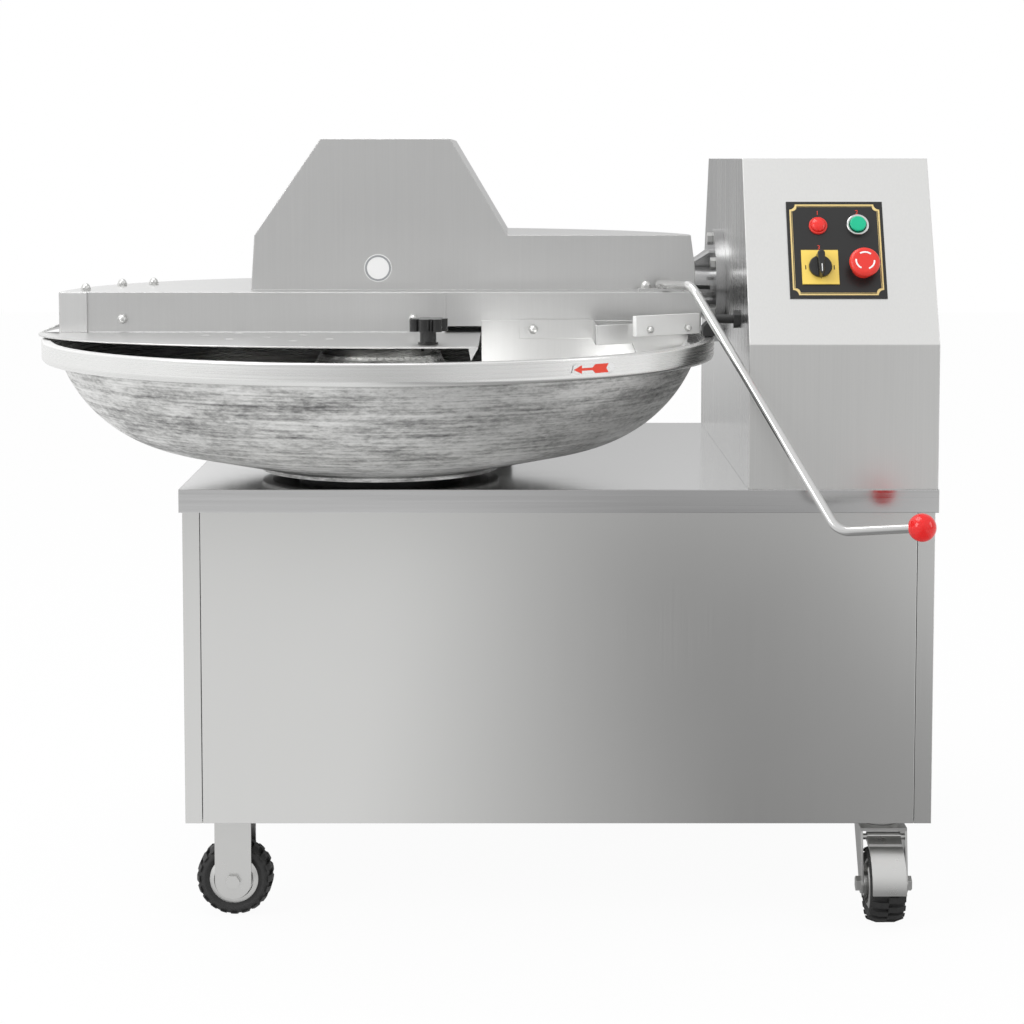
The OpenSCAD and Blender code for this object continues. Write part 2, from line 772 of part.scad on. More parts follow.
module main_motor() color("steelblue") translate([motor_x, shaft_y, motor_z]) difference() {
    union() {
        along_x() cylinder(r = motor_r, h = motor_l);
        translate([(motor_l - motor_foot_l) / 2, -motor_foot_w / 2, -motor_axis_h])
            cube([motor_foot_l, motor_foot_w, motor_foot_t]);
        translate([(motor_l - motor_foot_l) / 2, -motor_foot_w / 4, motor_foot_t - motor_axis_h])
            cube([motor_foot_l, motor_foot_w / 2, motor_axis_h - motor_foot_t]);
        translate([motor_l / 4, -motor_r / 2, 0]) cube([motor_l / 3, motor_r, motor_r * 1.3]);
    }
    translate([motor_l - motor_bore, 0, 0]) along_x()
        cylinder(r = motor_shaft_r + fit_gap, h = motor_bore + over);
}

// A belt's outline round both pulleys, r1 below and r2 above, seen along the shafts
module belt_outline(r1, r2) {
    lean = asin((r1 - r2) / belt_span);
    circle(r = r1);
    translate([0, belt_span]) circle(r = r2);
    polygon([[r1 * cos(lean), r1 * sin(lean)], [r2 * cos(lean), belt_span + r2 * sin(lean)],
        [-r2 * cos(lean), belt_span + r2 * sin(lean)], [-r1 * cos(lean), r1 * sin(lean)]]);
}

module v_belts() color("black") translate([pulley_x, shaft_y, motor_z])
    for (i = [0 : groove_count - 1])
        translate([(pulley_w + (2 * i + 1 - groove_count) * groove_pitch - belt_w) / 2, 0, 0])
            side_profile() linear_extrude(belt_w) difference() {
                belt_outline(motor_pulley_r - groove_deep + belt_lift + belt_t,
                    pulley_r - groove_deep + belt_lift + belt_t);
                belt_outline(motor_pulley_r - groove_deep + belt_lift, pulley_r - groove_deep + belt_lift);
            }

// Bowl, turned about its own axis
module bowl() color("silver") at_bowl() rotate_extrude($fn = 180) polygon(concat(
    [[foot_in, foot_z], [foot_r, foot_z], [foot_r, slope_z - (slope_r - foot_r) * tan(foot_slope)]],
    arc([trough_pitch, skin_z], skin_r, foot_slope, skin_top_deg, arc_steps),
    [[bowl_r - rim_round, rim_low], [bowl_r - rim_round * (1 - sin(45)), rim_low + rim_round * (1 - sin(45))],
        [bowl_r, rim_low + rim_round], [bowl_r, rim_z - rim_edge], [bowl_r - rim_edge, rim_z],
        [bowl_r - rim_w, rim_z]],
    arc([trough_pitch, trough_z], trough_r, trough_top_deg, -hub_top_deg, 2 * arc_steps),
    [[trough_pitch - trough_r * sin(hub_top_deg) - hub_edge, hub_z], [spindle_r + fit_gap, hub_z],
        [spindle_r + fit_gap, boss_z], [boss_flange_r, boss_z], [boss_flange_r, boss_z + boss_flange_t],
        [boss_r, boss_z + boss_flange_t], [boss_r, trough_z - under_r * cos(under_top_deg)]],
    arc([trough_pitch, trough_z], under_r, -under_top_deg, -under_foot_deg, arc_steps)));

module bowl_spindle() color("gray") at_bowl() {
    translate([0, 0, spindle_end_z]) cylinder(r = spindle_r, h = hub_z - spindle_end_z);
    translate([0, 0, spindle_flange_z]) cylinder(r = boss_flange_r, h = spindle_flange_t);
}

module bowl_cap() color("silver") at_bowl() translate([0, 0, hub_z]) {
    cylinder(r = cap_r, h = cap_h / 2);
    translate([0, 0, cap_h / 2]) cylinder(r1 = cap_r, r2 = cap_r - cap_h / 2, h = cap_h / 2);
}

module bowl_bearing_housing() color("dimgray") at_bowl() difference() {
    union() {
        translate([0, 0, deck_z]) cylinder(r = bearing_flange_r, h = bearing_flange_t);
        translate([0, 0, housing_bottom]) cylinder(r = bearing_body_r, h = bearing_body_h);
    }
    translate([0, 0, housing_bottom - over])
        cylinder(r = spindle_r + spindle_play, h = bearing_body_h + bearing_flange_t + 2 * over);
    for (z = [housing_bottom - over, deck_z + bearing_flange_t - spindle_bearing_t])
        translate([0, 0, z]) cylinder(r = spindle_bearing_r, h = spindle_bearing_t + over);
}

module spindle_bearings() color("lightsteelblue") at_bowl()
    for (z = [housing_bottom, deck_z + bearing_flange_t - spindle_bearing_t])
        translate([0, 0, z]) ring(spindle_bearing_r - fit_gap, spindle_r + fit_gap, spindle_bearing_t);

module bowl_gearbox() color("steelblue") at_bowl() difference() {
    translate([-gearbox_w / 2, -gearbox_d / 2, housing_bottom - gearbox_h])
        cube([gearbox_w, gearbox_d, gearbox_h]);
    translate([0, 0, housing_bottom - gearbox_bore_h])
        cylinder(r = spindle_r + fit_gap, h = gearbox_bore_h + over);
}

module bowl_motor() color("steelblue") at_bowl()
    translate([-gearbox_w / 2 - bowl_motor_l, 0, housing_bottom - gearbox_h / 2]) along_x()
        cylinder(r = bowl_motor_r, h = bowl_motor_l);

// Lid: a half-round pan behind the bowl's axis
module half_disc(r, h) intersection() {
    cylinder(r = r, h = h, $fn = 180);
    translate([-r - over, 0, -over]) cube([2 * (r + over), r + over, h + 2 * over]);
}

// Room for the shaft's housing, open downwards
module housing_notch(z0) {
    half = housing_r + notch_front;
    translate([0, trough_pitch, shaft_z]) along_x() cylinder(r = half, h = lid_r + over);
    translate([0, trough_pitch - half, z0]) cube([lid_r + over, half + housing_r + notch_back, shaft_z - z0]);
    translate([0, trough_pitch + notch_back - notch_front, shaft_z]) along_x()
        cylinder(r = half, h = lid_r + over);
    translate([0, trough_pitch, shaft_z]) cube([lid_r + over, notch_back - notch_front, half]);
}

module hood_block(outline, t, z0) intersection() {
    translate([0, 2 * lid_r, 0]) front_profile() linear_extrude(2 * lid_r - hood_front - t) polygon(outline);
    translate([0, 0, z0]) cylinder(r = lid_r - t, h = 2 * hood_z, $fn = 180);
}

module lid_pan() color("lightgray") at_bowl() difference() {
    union() {
        difference() {
            translate([0, 0, lid_low]) half_disc(lid_r, lid_z - lid_low);
            translate([0, 0, lid_low - over]) intersection() {
                cylinder(r = lid_r - lid_t, h = lid_z - lid_low - lid_t + over, $fn = 180);
                translate([-lid_r, lid_t, 0]) cube([2 * lid_r, lid_r, lid_z]);
            }
        }
        translate([0, 0, lid_low]) rotate([0, 0, drip_start])
            rotate_extrude(angle = 180 - drip_start, $fn = 180)
                polygon([[lid_r - lid_t / 2, drip_rise], [bowl_r + tip_reach, 0],
                    [bowl_r + tip_reach, lid_t], [lid_r - lid_t / 2, drip_rise + lid_t]]);
    }
    translate([-lid_r, -over, lid_low - over])
        cube([2 * lid_r, lid_t + 2 * over, lid_z - lid_front_drop - lid_low + over]);
    hood_block(inset(concat([[hood_foot_left, lid_low], [hood_foot_right, lid_low]],
        [for (i = [2 : 6]) hood_outline[i]]), hood_seat), hood_seat, lid_low);
    housing_notch(lid_low - over);
}

module hood() color("darkgray") at_bowl() difference() {
    hood_block(hood_outline, 0, 0);
    hood_block(inset(concat([[hood_foot_left, lid_low], [hood_foot_right, lid_low]],
        [for (i = [2 : 6]) hood_outline[i]]), lid_t), lid_t, 0);
    housing_notch(lid_low - over);
}

// Guard plate over the bowl's front left, folded up into the strip on the lid's front
module guard_plate() color("lightgray") at_bowl() difference() {
    union() {
        translate([0, 0, lid_low]) linear_extrude(lid_t) polygon(concat(
            [for (i = [0 : arc_steps]) let (a = 90 * i / arc_steps)
                [-(bowl_r + tip_reach) * cos(a), -guard_d * sin(a)]],
            [[guard_right, -guard_d], [guard_right, 0]]));
        translate([strip_left, -lid_t, guard_z]) cube([strip_right - strip_left, lid_t, lid_z - guard_z]);
        translate([guard_right - lip_w, lid_t - guard_d, lid_low]) front_profile() linear_extrude(lid_t)
            polygon([[0, over], [0, 0], [lip_w / 4, -lip_h], [lip_w, 0], [lip_w, over]]);
    }
    for (p = guard_hole_shares)
        translate([p[0] * bowl_r, p[1] * guard_d, lid_low - over])
            for (x = [0, guard_hole_l - 2 * guard_hole_r])
                translate([x, 0, 0]) cylinder(r = guard_hole_r, h = lid_t + 2 * over);
    for (p = guard_hole_shares)
        translate([p[0] * bowl_r, p[1] * guard_d - guard_hole_r, lid_low - over])
            cube([guard_hole_l - 2 * guard_hole_r, 2 * guard_hole_r, lid_t + 2 * over]);
    translate([knob_x, knob_y, lid_low - over]) cylinder(r = knob_stud_r + loose_gap, h = lid_t + 2 * over);
}

module splash_baffle() color("lightgray") at_bowl() front_profile() linear_extrude(lid_t) intersection() {
    translate([baffle_left, baffle_z]) square([baffle_right - baffle_left, baffle_top - baffle_z]);
    translate([trough_pitch, trough_z]) circle(r = trough_r - baffle_gap, $fn = 180);
}

// Moves its children to the bracket's front end and turns them along the scraper
module along_scraper() at_bowl() translate([adjust_right, -2 * lid_t - adjust_reach, 0])
    rotate([0, 0, scraper_turn]) children();

module adjusting_plate() color("lightgray") {
    at_bowl() difference() {
        union() {
            translate([adjust_left, -2 * lid_t, adjust_low])
                cube([adjust_right - adjust_left, lid_t, adjust_high - adjust_low]);
            translate([adjust_right - lid_t, -2 * lid_t - adjust_reach, adjust_low])
                cube([lid_t, adjust_reach, adjust_high - adjust_low]);
        }
        translate([adjust_slot_x, over - lid_t, (adjust_low + adjust_high) / 2]) front_profile() {
            for (x = [-slot_l / 2 + slot_r, slot_l / 2 - slot_r])
                translate([x, 0, 0]) cylinder(r = slot_r, h = lid_t + 2 * over);
            translate([-slot_l / 2 + slot_r, -slot_r, 0])
                cube([slot_l - 2 * slot_r, 2 * slot_r, lid_t + 2 * over]);
        }
    }
    along_scraper() {
        translate([0, 0, adjust_low]) cylinder(r = bend_share * lid_t, h = adjust_high - adjust_low);
        front_profile() linear_extrude(lid_t) polygon([[0, adjust_low], [scraper_from, adjust_low],
            [scraper_from + screw_l, deflector_z], [deflector_low_to, deflector_z],
            [deflector_to, adjust_low], [wing_l, adjust_low], [wing_l, adjust_high], [0, adjust_high]]);
    }
}

module scraper() color("white") along_scraper()
    translate([scraper_from, -lid_t - scraper_t, scraper_low])
        cube([scraper_to - scraper_from, scraper_t, scraper_high - scraper_low]);

// A domed nut standing on its seat
module domed_nut(r, h) {
    cylinder(r = r * 1.15, h = h / 2, $fn = 6);
    translate([0, 0, h / 2]) intersection() {
        sphere(r = r);
        cylinder(r = r + over, h = h);
    }
}

module lid_nuts() color("silver") {
    scraper_bolts();
    at_bowl() {
        for (i = [0 : len(lid_nut_places) - 1]) {
            lift = i < 3 ? 0 : lug_t;
            translate([lid_nut_places[i][0], lid_nut_places[i][1], lid_z + lift])
                domed_nut(lid_nut_r, lid_nut_h);
        }
        for (x = strip_bolt_places)
            translate([x, -lid_t, strip_bolt_z]) front_profile() domed_nut(lid_nut_r, lid_nut_h);
        translate([adjust_slot_x + slot_r, -2 * lid_t, (adjust_low + adjust_high) / 2]) front_profile()
            domed_nut(lid_nut_r, lid_nut_h);
    }
}

module scraper_bolts() along_scraper() for (x = scraper_screws)
    translate([scraper_from + x, -lid_t - scraper_t, (scraper_low + adjust_high) / 2]) front_profile()
        domed_nut(screw_r, screw_h);

module hinge_leaves() color("silver") for (x = hinge_x) {
    wall_y = bowl_y + sqrt(pow(lid_r, 2) - pow(hinge_side, 2));
    translate([x, hinge_y, hinge_z]) difference() {
        union() {
            translate([-knuckle_w / 2, 0, 0]) along_x() cylinder(r = knuckle_r, h = knuckle_w);
            translate([-knuckle_w / 2, wall_y - hinge_y, 0]) cube([knuckle_w, hinge_y - wall_y, knuckle_r]);
        }
        translate([-knuckle_w / 2 - over, 0, 0]) along_x()
            cylinder(r = pin_r + fit_gap, h = knuckle_w + 2 * over);
        translate([bowl_x - x, bowl_y - hinge_y, -knuckle_r - over]) cylinder(r = lid_r + fit_gap,
            h = 2 * (knuckle_r + over), $fn = 180);
    }
}

module hinge_stands() color("silver") for (x = hinge_x) translate([x, hinge_y, 0]) {
    ear_h = 2 * knuckle_r + leaf_t;
    translate([-stand_base / 2, -stand_d / 2, deck_z]) cube([stand_base, stand_base, stand_base_t]);
    translate([-stand_w / 2, -stand_d / 2, deck_z + stand_base_t])
        cube([stand_w, stand_d, hinge_z - knuckle_r - leaf_t - deck_z - stand_base_t]);
    for (side = [-stand_w / 2, stand_w / 2 - ear_t]) difference() {
        translate([side, -stand_d / 2, hinge_z - knuckle_r - leaf_t]) cube([ear_t, stand_d, ear_h]);
        translate([side - over, 0, hinge_z]) along_x() cylinder(r = pin_r + fit_gap, h = ear_t + 2 * over);
    }
}

module hinge_pins() color("gray") for (x = hinge_x)
    translate([x - stand_w / 2 - leaf_t / 2, hinge_y, hinge_z]) along_x() {
        cylinder(r = pin_r, h = stand_w + leaf_t);
        translate([0, 0, -leaf_t / 2]) cylinder(r = pin_r + leaf_t / 2, h = leaf_t / 2);
    }

module lever_arm() color("silver") {
    at_bowl() translate([lug_at[0], lug_at[1], lid_z]) cube([lug_w, lug_d, lug_t]);
    rod(lever_start, lever_bend, lever_r);
    rod(lever_bend, lever_elbow, lever_r);
    rod(lever_elbow, lever_ball, lever_r);
    for (p = [lever_start, lever_bend, lever_elbow]) translate(p) sphere(r = lever_r + weld_bead);
}

module ball_knob() color("red") difference() {
    translate(lever_ball) sphere(r = ball_r);
    rod((lever_ball + lever_elbow) / 2, lever_ball, lever_r + fit_gap);
}

module clamp_knob() color("black") at_bowl() translate([knob_x, knob_y, guard_z]) {
    head_z = knob_washer_t + seat_gap + knob_hub_h;
    translate([0, 0, seat_gap]) cylinder(r = knob_washer_r, h = knob_washer_t);
    translate([0, 0, seat_gap + knob_washer_t]) cylinder(r = knob_hub_r, h = knob_hub_h);
    translate([0, 0, head_z]) {
        cylinder(r = knob_r - knob_lobe_r, h = knob_h);
        for (i = [0 : knob_lobes - 1]) rotate([0, 0, i * 360 / knob_lobes])
            translate([knob_r - knob_lobe_r, 0, 0]) cylinder(r = knob_lobe_r, h = knob_h);
    }
    translate([0, 0, -lid_t - seat_gap - knob_nut_h])
        cylinder(r = knob_stud_r, h = lid_t + 2 * seat_gap + knob_nut_h);
    translate([0, 0, -lid_t - seat_gap - knob_nut_h]) cylinder(r = knob_nut_r, h = knob_nut_h, $fn = 6);
}

module rim_guide() color("dimgray") {
    translate([guide_x, guide_y + guide_d / 2, rim_z + seat_gap + over]) front_profile()
        linear_extrude(guide_d) polygon([[0, 0], [guide_w, 0], [guide_w, guide_h],
            [guide_chamfer, guide_h], [0, guide_h - guide_chamfer]]);
    translate([guide_x + guide_w / 2, guide_y, guide_stud_z]) along_x()
        cylinder(r = guide_stud_r, h = tower_x - guide_x - guide_w / 2);
    translate([tower_x - bolt_head_t, guide_y, guide_stud_z]) along_x()
        cylinder(r = 2 * guide_stud_r, h = bolt_head_t, $fn = 6);
}

module electrical_box() color("beige")
    translate([cab_x + panel_fold + tube_w, cab_y + cab_d / 2, floor_top])
        cube([box_d, box_w, box_h]);

module cable_gland() color("black")
    translate([castor_left + gland_at[0], castor_back + gland_at[1], castor_h]) difference() {
        union() {
            translate([0, 0, -gland_hex_h]) cylinder(r = gland_hex_r, h = gland_hex_h, $fn = 6);
            translate([0, 0, -gland_hex_h - gland_nose_h]) cylinder(r = gland_r, h = gland_nose_h);
            cylinder(r = gland_r, h = floor_t + gland_nut_h);
            translate([0, 0, floor_t]) cylinder(r = gland_hex_r, h = gland_nut_h, $fn = 6);
        }
        translate([0, 0, -gland_hex_h - gland_nose_h - over])
            cylinder(r = gland_bore_r, h = gland_hex_h + gland_nose_h + floor_t + gland_nut_h + 2 * over);
    }

// Castors. A fork cheek hangs from z = top down round the axle at the origin
module cheek(w, top) {
    cylinder(r = w / 2, h = fork_t);
    translate([-w / 2, 0, 0]) cube([w, top, fork_t]);
}

module axle_bolt(l) {
    translate([0, 0, -l / 2]) cylinder(r = axle_r, h = l);
    for (z = [-l / 2 - axle_head_t, l / 2])
        translate([0, 0, z]) cylinder(r = axle_head_r, h = axle_head_t, $fn = 6);
}

module rigid_forks() color("silver") for (y = [castor_front, castor_back]) {
    half = hub_w / 2 + fork_play;
    top = castor_h - pad_t - wheel_r;
    translate([castor_left - pad_w / 2, y - pad_d / 2, castor_h - pad_t]) cube([pad_w, pad_d, pad_t]);
    for (s = [y - half - fork_t, y + half])
        translate([castor_left, s + fork_t, wheel_r]) front_profile() cheek(fork_w, top);
    translate([castor_left, y, wheel_r]) along_y() axle_bolt(2 * (half + fork_t));
}

module swivel_plates() color("silver")
    for (y = [castor_front, castor_back]) translate([castor_right, y, castor_h - pad_t]) {
        king_end = -race_h - crown_t - 2 * seat_gap - head_t;
        translate([-pad_w / 2, -pad_d / 2, 0]) cube([pad_w, pad_d, pad_t]);
        translate([0, 0, -race_h]) cylinder(r = race_r, h = race_h);
        translate([0, 0, king_end]) cylinder(r = king_r, h = -king_end);
        translate([0, 0, king_end]) cylinder(r = 2 * king_r, h = head_t);
    }

// The swivelling fork, its wheel's axle trail in front of the pivot
module swivel_fork(y) color("silver") {
    half = hub_w / 2 + fork_play;
    crown_top = castor_h - pad_t - race_h - seat_gap;
    difference() {
        translate([castor_right, y, crown_top - crown_t]) union() {
            cylinder(r = half + fork_t, h = crown_t);
            translate([-half - fork_t, -trail, 0])
                cube([2 * (half + fork_t), trail + swivel_fork_w / 2, crown_t]);
        }
        translate([castor_right, y, crown_top - crown_t - over])
            cylinder(r = king_r + fit_gap, h = crown_t + 2 * over);
    }
    for (s = [-half - fork_t, half]) translate([castor_right + s, y - trail, wheel_r]) side_profile() {
        cylinder(r = axle_head_r + fork_t, h = fork_t);
        linear_extrude(fork_t) polygon([[-axle_head_r - fork_t, 0], [axle_head_r + fork_t, 0],
            [trail + swivel_fork_w / 2, crown_top - crown_t - wheel_r], [0, crown_top - crown_t - wheel_r]]);
    }
    translate([castor_right, y - trail, wheel_r]) along_x() axle_bolt(2 * (half + fork_t));
    translate([castor_right - half - fork_t, y - trail + brake_pin_at[0], wheel_r + brake_pin_at[1]])
        along_x() cylinder(r = brake_pin_r, h = 2 * (half + fork_t));
}

module fork_front_right() swivel_fork(castor_front);
module fork_rear_right() swivel_fork(castor_back);

// A wheel about Z: its tyre with two rows of lugs, and its hub
module tyre_ring() rotate_extrude($fn = 96) polygon([[hub_r + fit_gap, -tyre_w / 2 + tyre_shoulder / 2],
    [hub_r + tyre_shoulder, -tyre_w / 2], [tread_r - tyre_shoulder, -tyre_w / 2],
    [tread_r, tyre_shoulder / 2 - tyre_w / 2], [tread_r, tyre_w / 2 - tyre_shoulder / 2],
    [tread_r - tyre_shoulder, tyre_w / 2], [hub_r + tyre_shoulder, tyre_w / 2],
    [hub_r + fit_gap, tyre_w / 2 - tyre_shoulder / 2]]);

module tyre_lugs() intersection() {
    lug = 2 * lug_share * PI * wheel_r / lug_count;
    for (i = [0 : lug_count - 1], side = [0, 1]) rotate([0, 0, (i + side / 2) * 360 / lug_count])
        translate([tread_r - lug_depth, -lug / 2, (side - 1) * tyre_w / 2])
            cube([2 * lug_depth, lug, tyre_w / 2]);
    rotate_extrude($fn = 96) polygon([[tread_r - over, -tyre_w / 2], [tread_r, -tyre_w / 2],
        [wheel_r, -tyre_w / 4], [wheel_r, tyre_w / 4], [tread_r, tyre_w / 2], [tread_r - over, tyre_w / 2]]);
}

module wheel() {
    color("black") {
        tyre_ring();
        tyre_lugs();
    }
    color("gray") rotate_extrude() polygon([[axle_r + fit_gap, -hub_w / 2], [nave_r, -hub_w / 2],
        [nave_r, -tyre_w / 3], [dish_r, -tyre_w / 3], [dish_r, -tyre_w / 2],
        [hub_r, tyre_shoulder / 2 - tyre_w / 2], [hub_r, tyre_w / 2 - tyre_shoulder / 2],
        [dish_r, tyre_w / 2], [dish_r, tyre_w / 3], [nave_r, tyre_w / 3], [nave_r, hub_w / 2],
        [axle_r + fit_gap, hub_w / 2]]);
}

module wheel_front_left() translate([castor_left, castor_front, wheel_r]) along_y() wheel();
module wheel_rear_left() translate([castor_left, castor_back, wheel_r]) along_y() wheel();
module wheel_front_right() translate([castor_right, castor_front - trail, wheel_r]) along_x() wheel();
module wheel_rear_right() translate([castor_right, castor_back - trail, wheel_r]) along_x() wheel();

// Brake pedal: a curved plate over the front of the wheel, hung on the fork's cheeks
module brake(y) color("silver") translate([castor_right - brake_w / 2, y - trail, wheel_r]) {
    inner = wheel_r + brake_gap;
    difference() {
        union() {
            side_profile() linear_extrude(brake_w) difference() {
                circle(r = inner + brake_t);
                circle(r = inner);
                translate([0, -inner - brake_t - over])
                    square([inner + brake_t + over, 2 * (inner + brake_t + over)]);
                translate([-inner - brake_t - over, -inner - brake_t - over])
                    square([2 * (inner + brake_t + over), inner + brake_t + over]);
            }
            side_profile() linear_extrude(brake_w)
                polygon([[-brake_web, inner], brake_pin_at - [0, brake_eye_r - over],
                    brake_pin_at + [0, brake_eye_r - over], [-brake_web, inner + brake_t]]);
            translate([0, brake_pin_at[0], brake_pin_at[1]]) along_x() cylinder(r = brake_eye_r, h = brake_w);
        }
        translate([-over, brake_pin_at[0], brake_pin_at[1]]) along_x()
            cylinder(r = brake_pin_r + fit_gap, h = brake_w + 2 * over);
    }
}

module brake_front() brake(castor_front);
module brake_rear() brake(castor_back);

corner_posts();
frame_rails();
floor_plate();
front_panel();
side_panels();
rear_panel();
deck();
tower_shell();
tower_rear_cover();
control_plate();
lamp();
start_bezel();
switch_plate();
stop_collar();
shaft_housing();
housing_bolts();
shaft_bearings();
main_motor();
v_belts();
bowl_bearing_housing();
spindle_bearings();
bowl_gearbox();
bowl_motor();
hinge_stands();
hinge_pins();
rim_guide();
electrical_box();
cable_gland();
rigid_forks();
swivel_plates();
bowl();
bowl_spindle();
bowl_cap();
knife_shaft();
knives();
knife_collars();
shaft_pulley();
motor_pulley();
lid_pan();
hood();
guard_plate();
splash_baffle();
adjusting_plate();
scraper();
lid_nuts();
hinge_leaves();
lever_arm();
ball_knob();
clamp_knob();
start_button();
switch_knob();
stop_button();
wheel_front_left();
wheel_rear_left();
wheel_front_right();
wheel_rear_right();
fork_front_right();
fork_rear_right();
brake_front();
brake_rear();
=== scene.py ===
# %% [markdown]
# # A bowl cutter in Blender, on a CAD frame
#
# The CAD step gives every piece its size, its place and its joints. This lesson gives them their
# looks: brushed and polished sheet, a cast bowl turned from a profile by Geometry Nodes, small
# screws, plain marks, and the camera and light of a plain product photograph.
# Lengths are metres, in the row frame: the origin is on the floor, +Z is up, -Y is the front.

# %% Load the frame
import math
import bpy
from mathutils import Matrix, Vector


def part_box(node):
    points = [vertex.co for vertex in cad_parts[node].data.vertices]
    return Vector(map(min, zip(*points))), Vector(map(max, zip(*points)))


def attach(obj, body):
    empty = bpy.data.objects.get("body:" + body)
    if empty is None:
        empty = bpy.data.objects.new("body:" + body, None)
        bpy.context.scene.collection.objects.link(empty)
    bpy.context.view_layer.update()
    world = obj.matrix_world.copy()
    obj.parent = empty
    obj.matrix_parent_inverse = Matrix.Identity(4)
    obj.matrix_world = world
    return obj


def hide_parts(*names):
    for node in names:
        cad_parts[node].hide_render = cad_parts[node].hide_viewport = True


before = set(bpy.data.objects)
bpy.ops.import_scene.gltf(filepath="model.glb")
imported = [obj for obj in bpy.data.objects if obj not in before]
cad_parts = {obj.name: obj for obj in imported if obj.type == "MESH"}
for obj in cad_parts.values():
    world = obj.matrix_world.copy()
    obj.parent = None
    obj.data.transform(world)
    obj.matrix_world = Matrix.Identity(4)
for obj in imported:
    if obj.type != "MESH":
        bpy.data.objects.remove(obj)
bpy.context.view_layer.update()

# %% [markdown]
# ## Measures
#
# Places that more than one cell uses are read from the CAD nodes' boxes, so that the marks and
# screws stay where the CAD puts their pieces.

# %% Read the measures
bowl_low, bowl_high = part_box("bowl")
deck_low, deck_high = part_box("deck")
tower_low, tower_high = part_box("tower_shell")
lid_low, lid_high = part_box("lid_pan")
bowl_x = (bowl_low[0] + bowl_high[0]) / 2
bowl_y = (bowl_low[1] + bowl_high[1]) / 2
rim_r = (bowl_high[0] - bowl_low[0]) / 2
rim_z = bowl_high[2]
rim_height = 0.028
rim_low = rim_z - rim_height
print("bowl axis:", round(bowl_x, 4), round(bowl_y, 4), "rim radius:", round(rim_r, 4))

# %% [markdown]
# ## Materials
#
# Each material is a small node tree. Sheet metal gets a fine grain: a noise that is stretched along
# the rolling direction changes the roughness a little and tips the surface a very little. A bevel
# node rounds the sheet's sharp edges in the shading, as a folded sheet's edges are never sharp.

# %% Make the material helpers
def new_material(name, color, metallic=0.0, roughness=0.5):
    """A material with a Principled shader, and its node tree."""
    material = bpy.data.materials.new(name)
    material.use_nodes = True
    tree = material.node_tree
    shader = tree.nodes["Principled BSDF"]
    shader.inputs["Base Color"].default_value = (*color, 1.0)
    shader.inputs["Metallic"].default_value = metallic
    shader.inputs["Roughness"].default_value = roughness
    material.diffuse_color = (*color, 1.0)
    return material, tree, shader


def add_node(tree, kind, inputs, **settings):
    """A node with its settings made. Each input is given a socket to link, or a plain value."""
    node = tree.nodes.new(kind)
    for name, value in settings.items():
        setattr(node, name, value)
    for key, value in inputs.items():
        if isinstance(value, bpy.types.NodeSocket):
            tree.links.new(value, node.inputs[key])
        else:
            node.inputs[key].default_value = value
    return node


def math_node(tree, operation, *values):
    """The result of an operation on numbers and sockets."""
    return add_node(tree, "ShaderNodeMath", dict(enumerate(values)), operation=operation).outputs["Value"]


def object_coords(tree, scale):
    """Object coordinates through a mapping of that scale."""
    coords = tree.nodes.new("ShaderNodeTexCoord").outputs["Object"]
    return add_node(tree, "ShaderNodeMapping", {"Vector": coords, "Scale": scale}).outputs["Vector"]


def noise(tree, vector, scale, detail=3.0, rough=0.5):
    """A noise texture's factor."""
    return add_node(tree, "ShaderNodeTexNoise", {"Vector": vector, "Scale": scale, "Detail": detail,
                                                 "Roughness": rough}).outputs["Fac"]


def map_range(tree, value, low, high, to_low, to_high):
    """The value moved from one range to another."""
    return add_node(tree, "ShaderNodeMapRange", {
        "Value": value, "From Min": low, "From Max": high,
        "To Min": to_low, "To Max": to_high}).outputs["Result"]


def mixed(tree, factor, first, second, kind="FLOAT"):
    """Two values or colours mixed. The factor is a number or a socket."""
    one, two, result = {"FLOAT": (2, 3, 0), "RGBA": (6, 7, 2)}[kind]
    ends = [(*value, 1.0) if isinstance(value, tuple) else value for value in (first, second)]
    node = add_node(tree, "ShaderNodeMix", {0: factor, one: ends[0], two: ends[1]}, data_type=kind)
    return node.outputs[result]


def ramp(tree, value, stops):
    """A colour ramp of grey or coloured stops."""
    node = add_node(tree, "ShaderNodeValToRGB", {"Fac": value})
    elements = node.color_ramp.elements
    while len(elements) < len(stops):
        elements.new(0.5)
    for element, (place, color) in zip(elements, stops):
        element.position = place
        element.color = (*color, 1.0)
    return node.outputs["Color"]


def add_bump(tree, shader, height, strength, distance, edge=0.0):
    """Tips the shading by a height, over rounded edges if an edge radius is given."""
    bump = add_node(tree, "ShaderNodeBump", {"Height": height, "Strength": strength, "Distance": distance})
    if edge > 0:
        bevel = add_node(tree, "ShaderNodeBevel", {"Radius": edge}, samples=6)
        tree.links.new(bevel.outputs["Normal"], bump.inputs["Normal"])
    tree.links.new(bump.outputs["Normal"], shader.inputs["Normal"])


def sheet_metal(name, tone, rough, grain, depth=0.03, edge=0.0012):
    """Brushed sheet. grain is how finely the noise is stretched along X, Y and Z, depth how much it shows."""
    material, tree, shader = new_material(name, tone, 1.0, rough)
    lines = noise(tree, object_coords(tree, grain), 1.0, 4.0, 0.55)
    cloud = noise(tree, object_coords(tree, (1.0, 1.0, 1.0)), 3.0, 2.0)
    spread = math_node(tree, "ADD", map_range(tree, lines, 0.3, 0.7, rough - depth, rough + depth),
                       map_range(tree, cloud, 0.3, 0.7, -0.02, 0.02))
    tree.links.new(spread, shader.inputs["Roughness"])
    low = tuple(c * (1.0 - depth) for c in tone)
    high = tuple(min(1.0, c * (1.0 + depth)) for c in tone)
    tree.links.new(ramp(tree, lines, [(0.32, low), (0.68, high)]), shader.inputs["Base Color"])
    add_bump(tree, shader, lines, 0.4 * depth, 0.0002, edge)
    return material


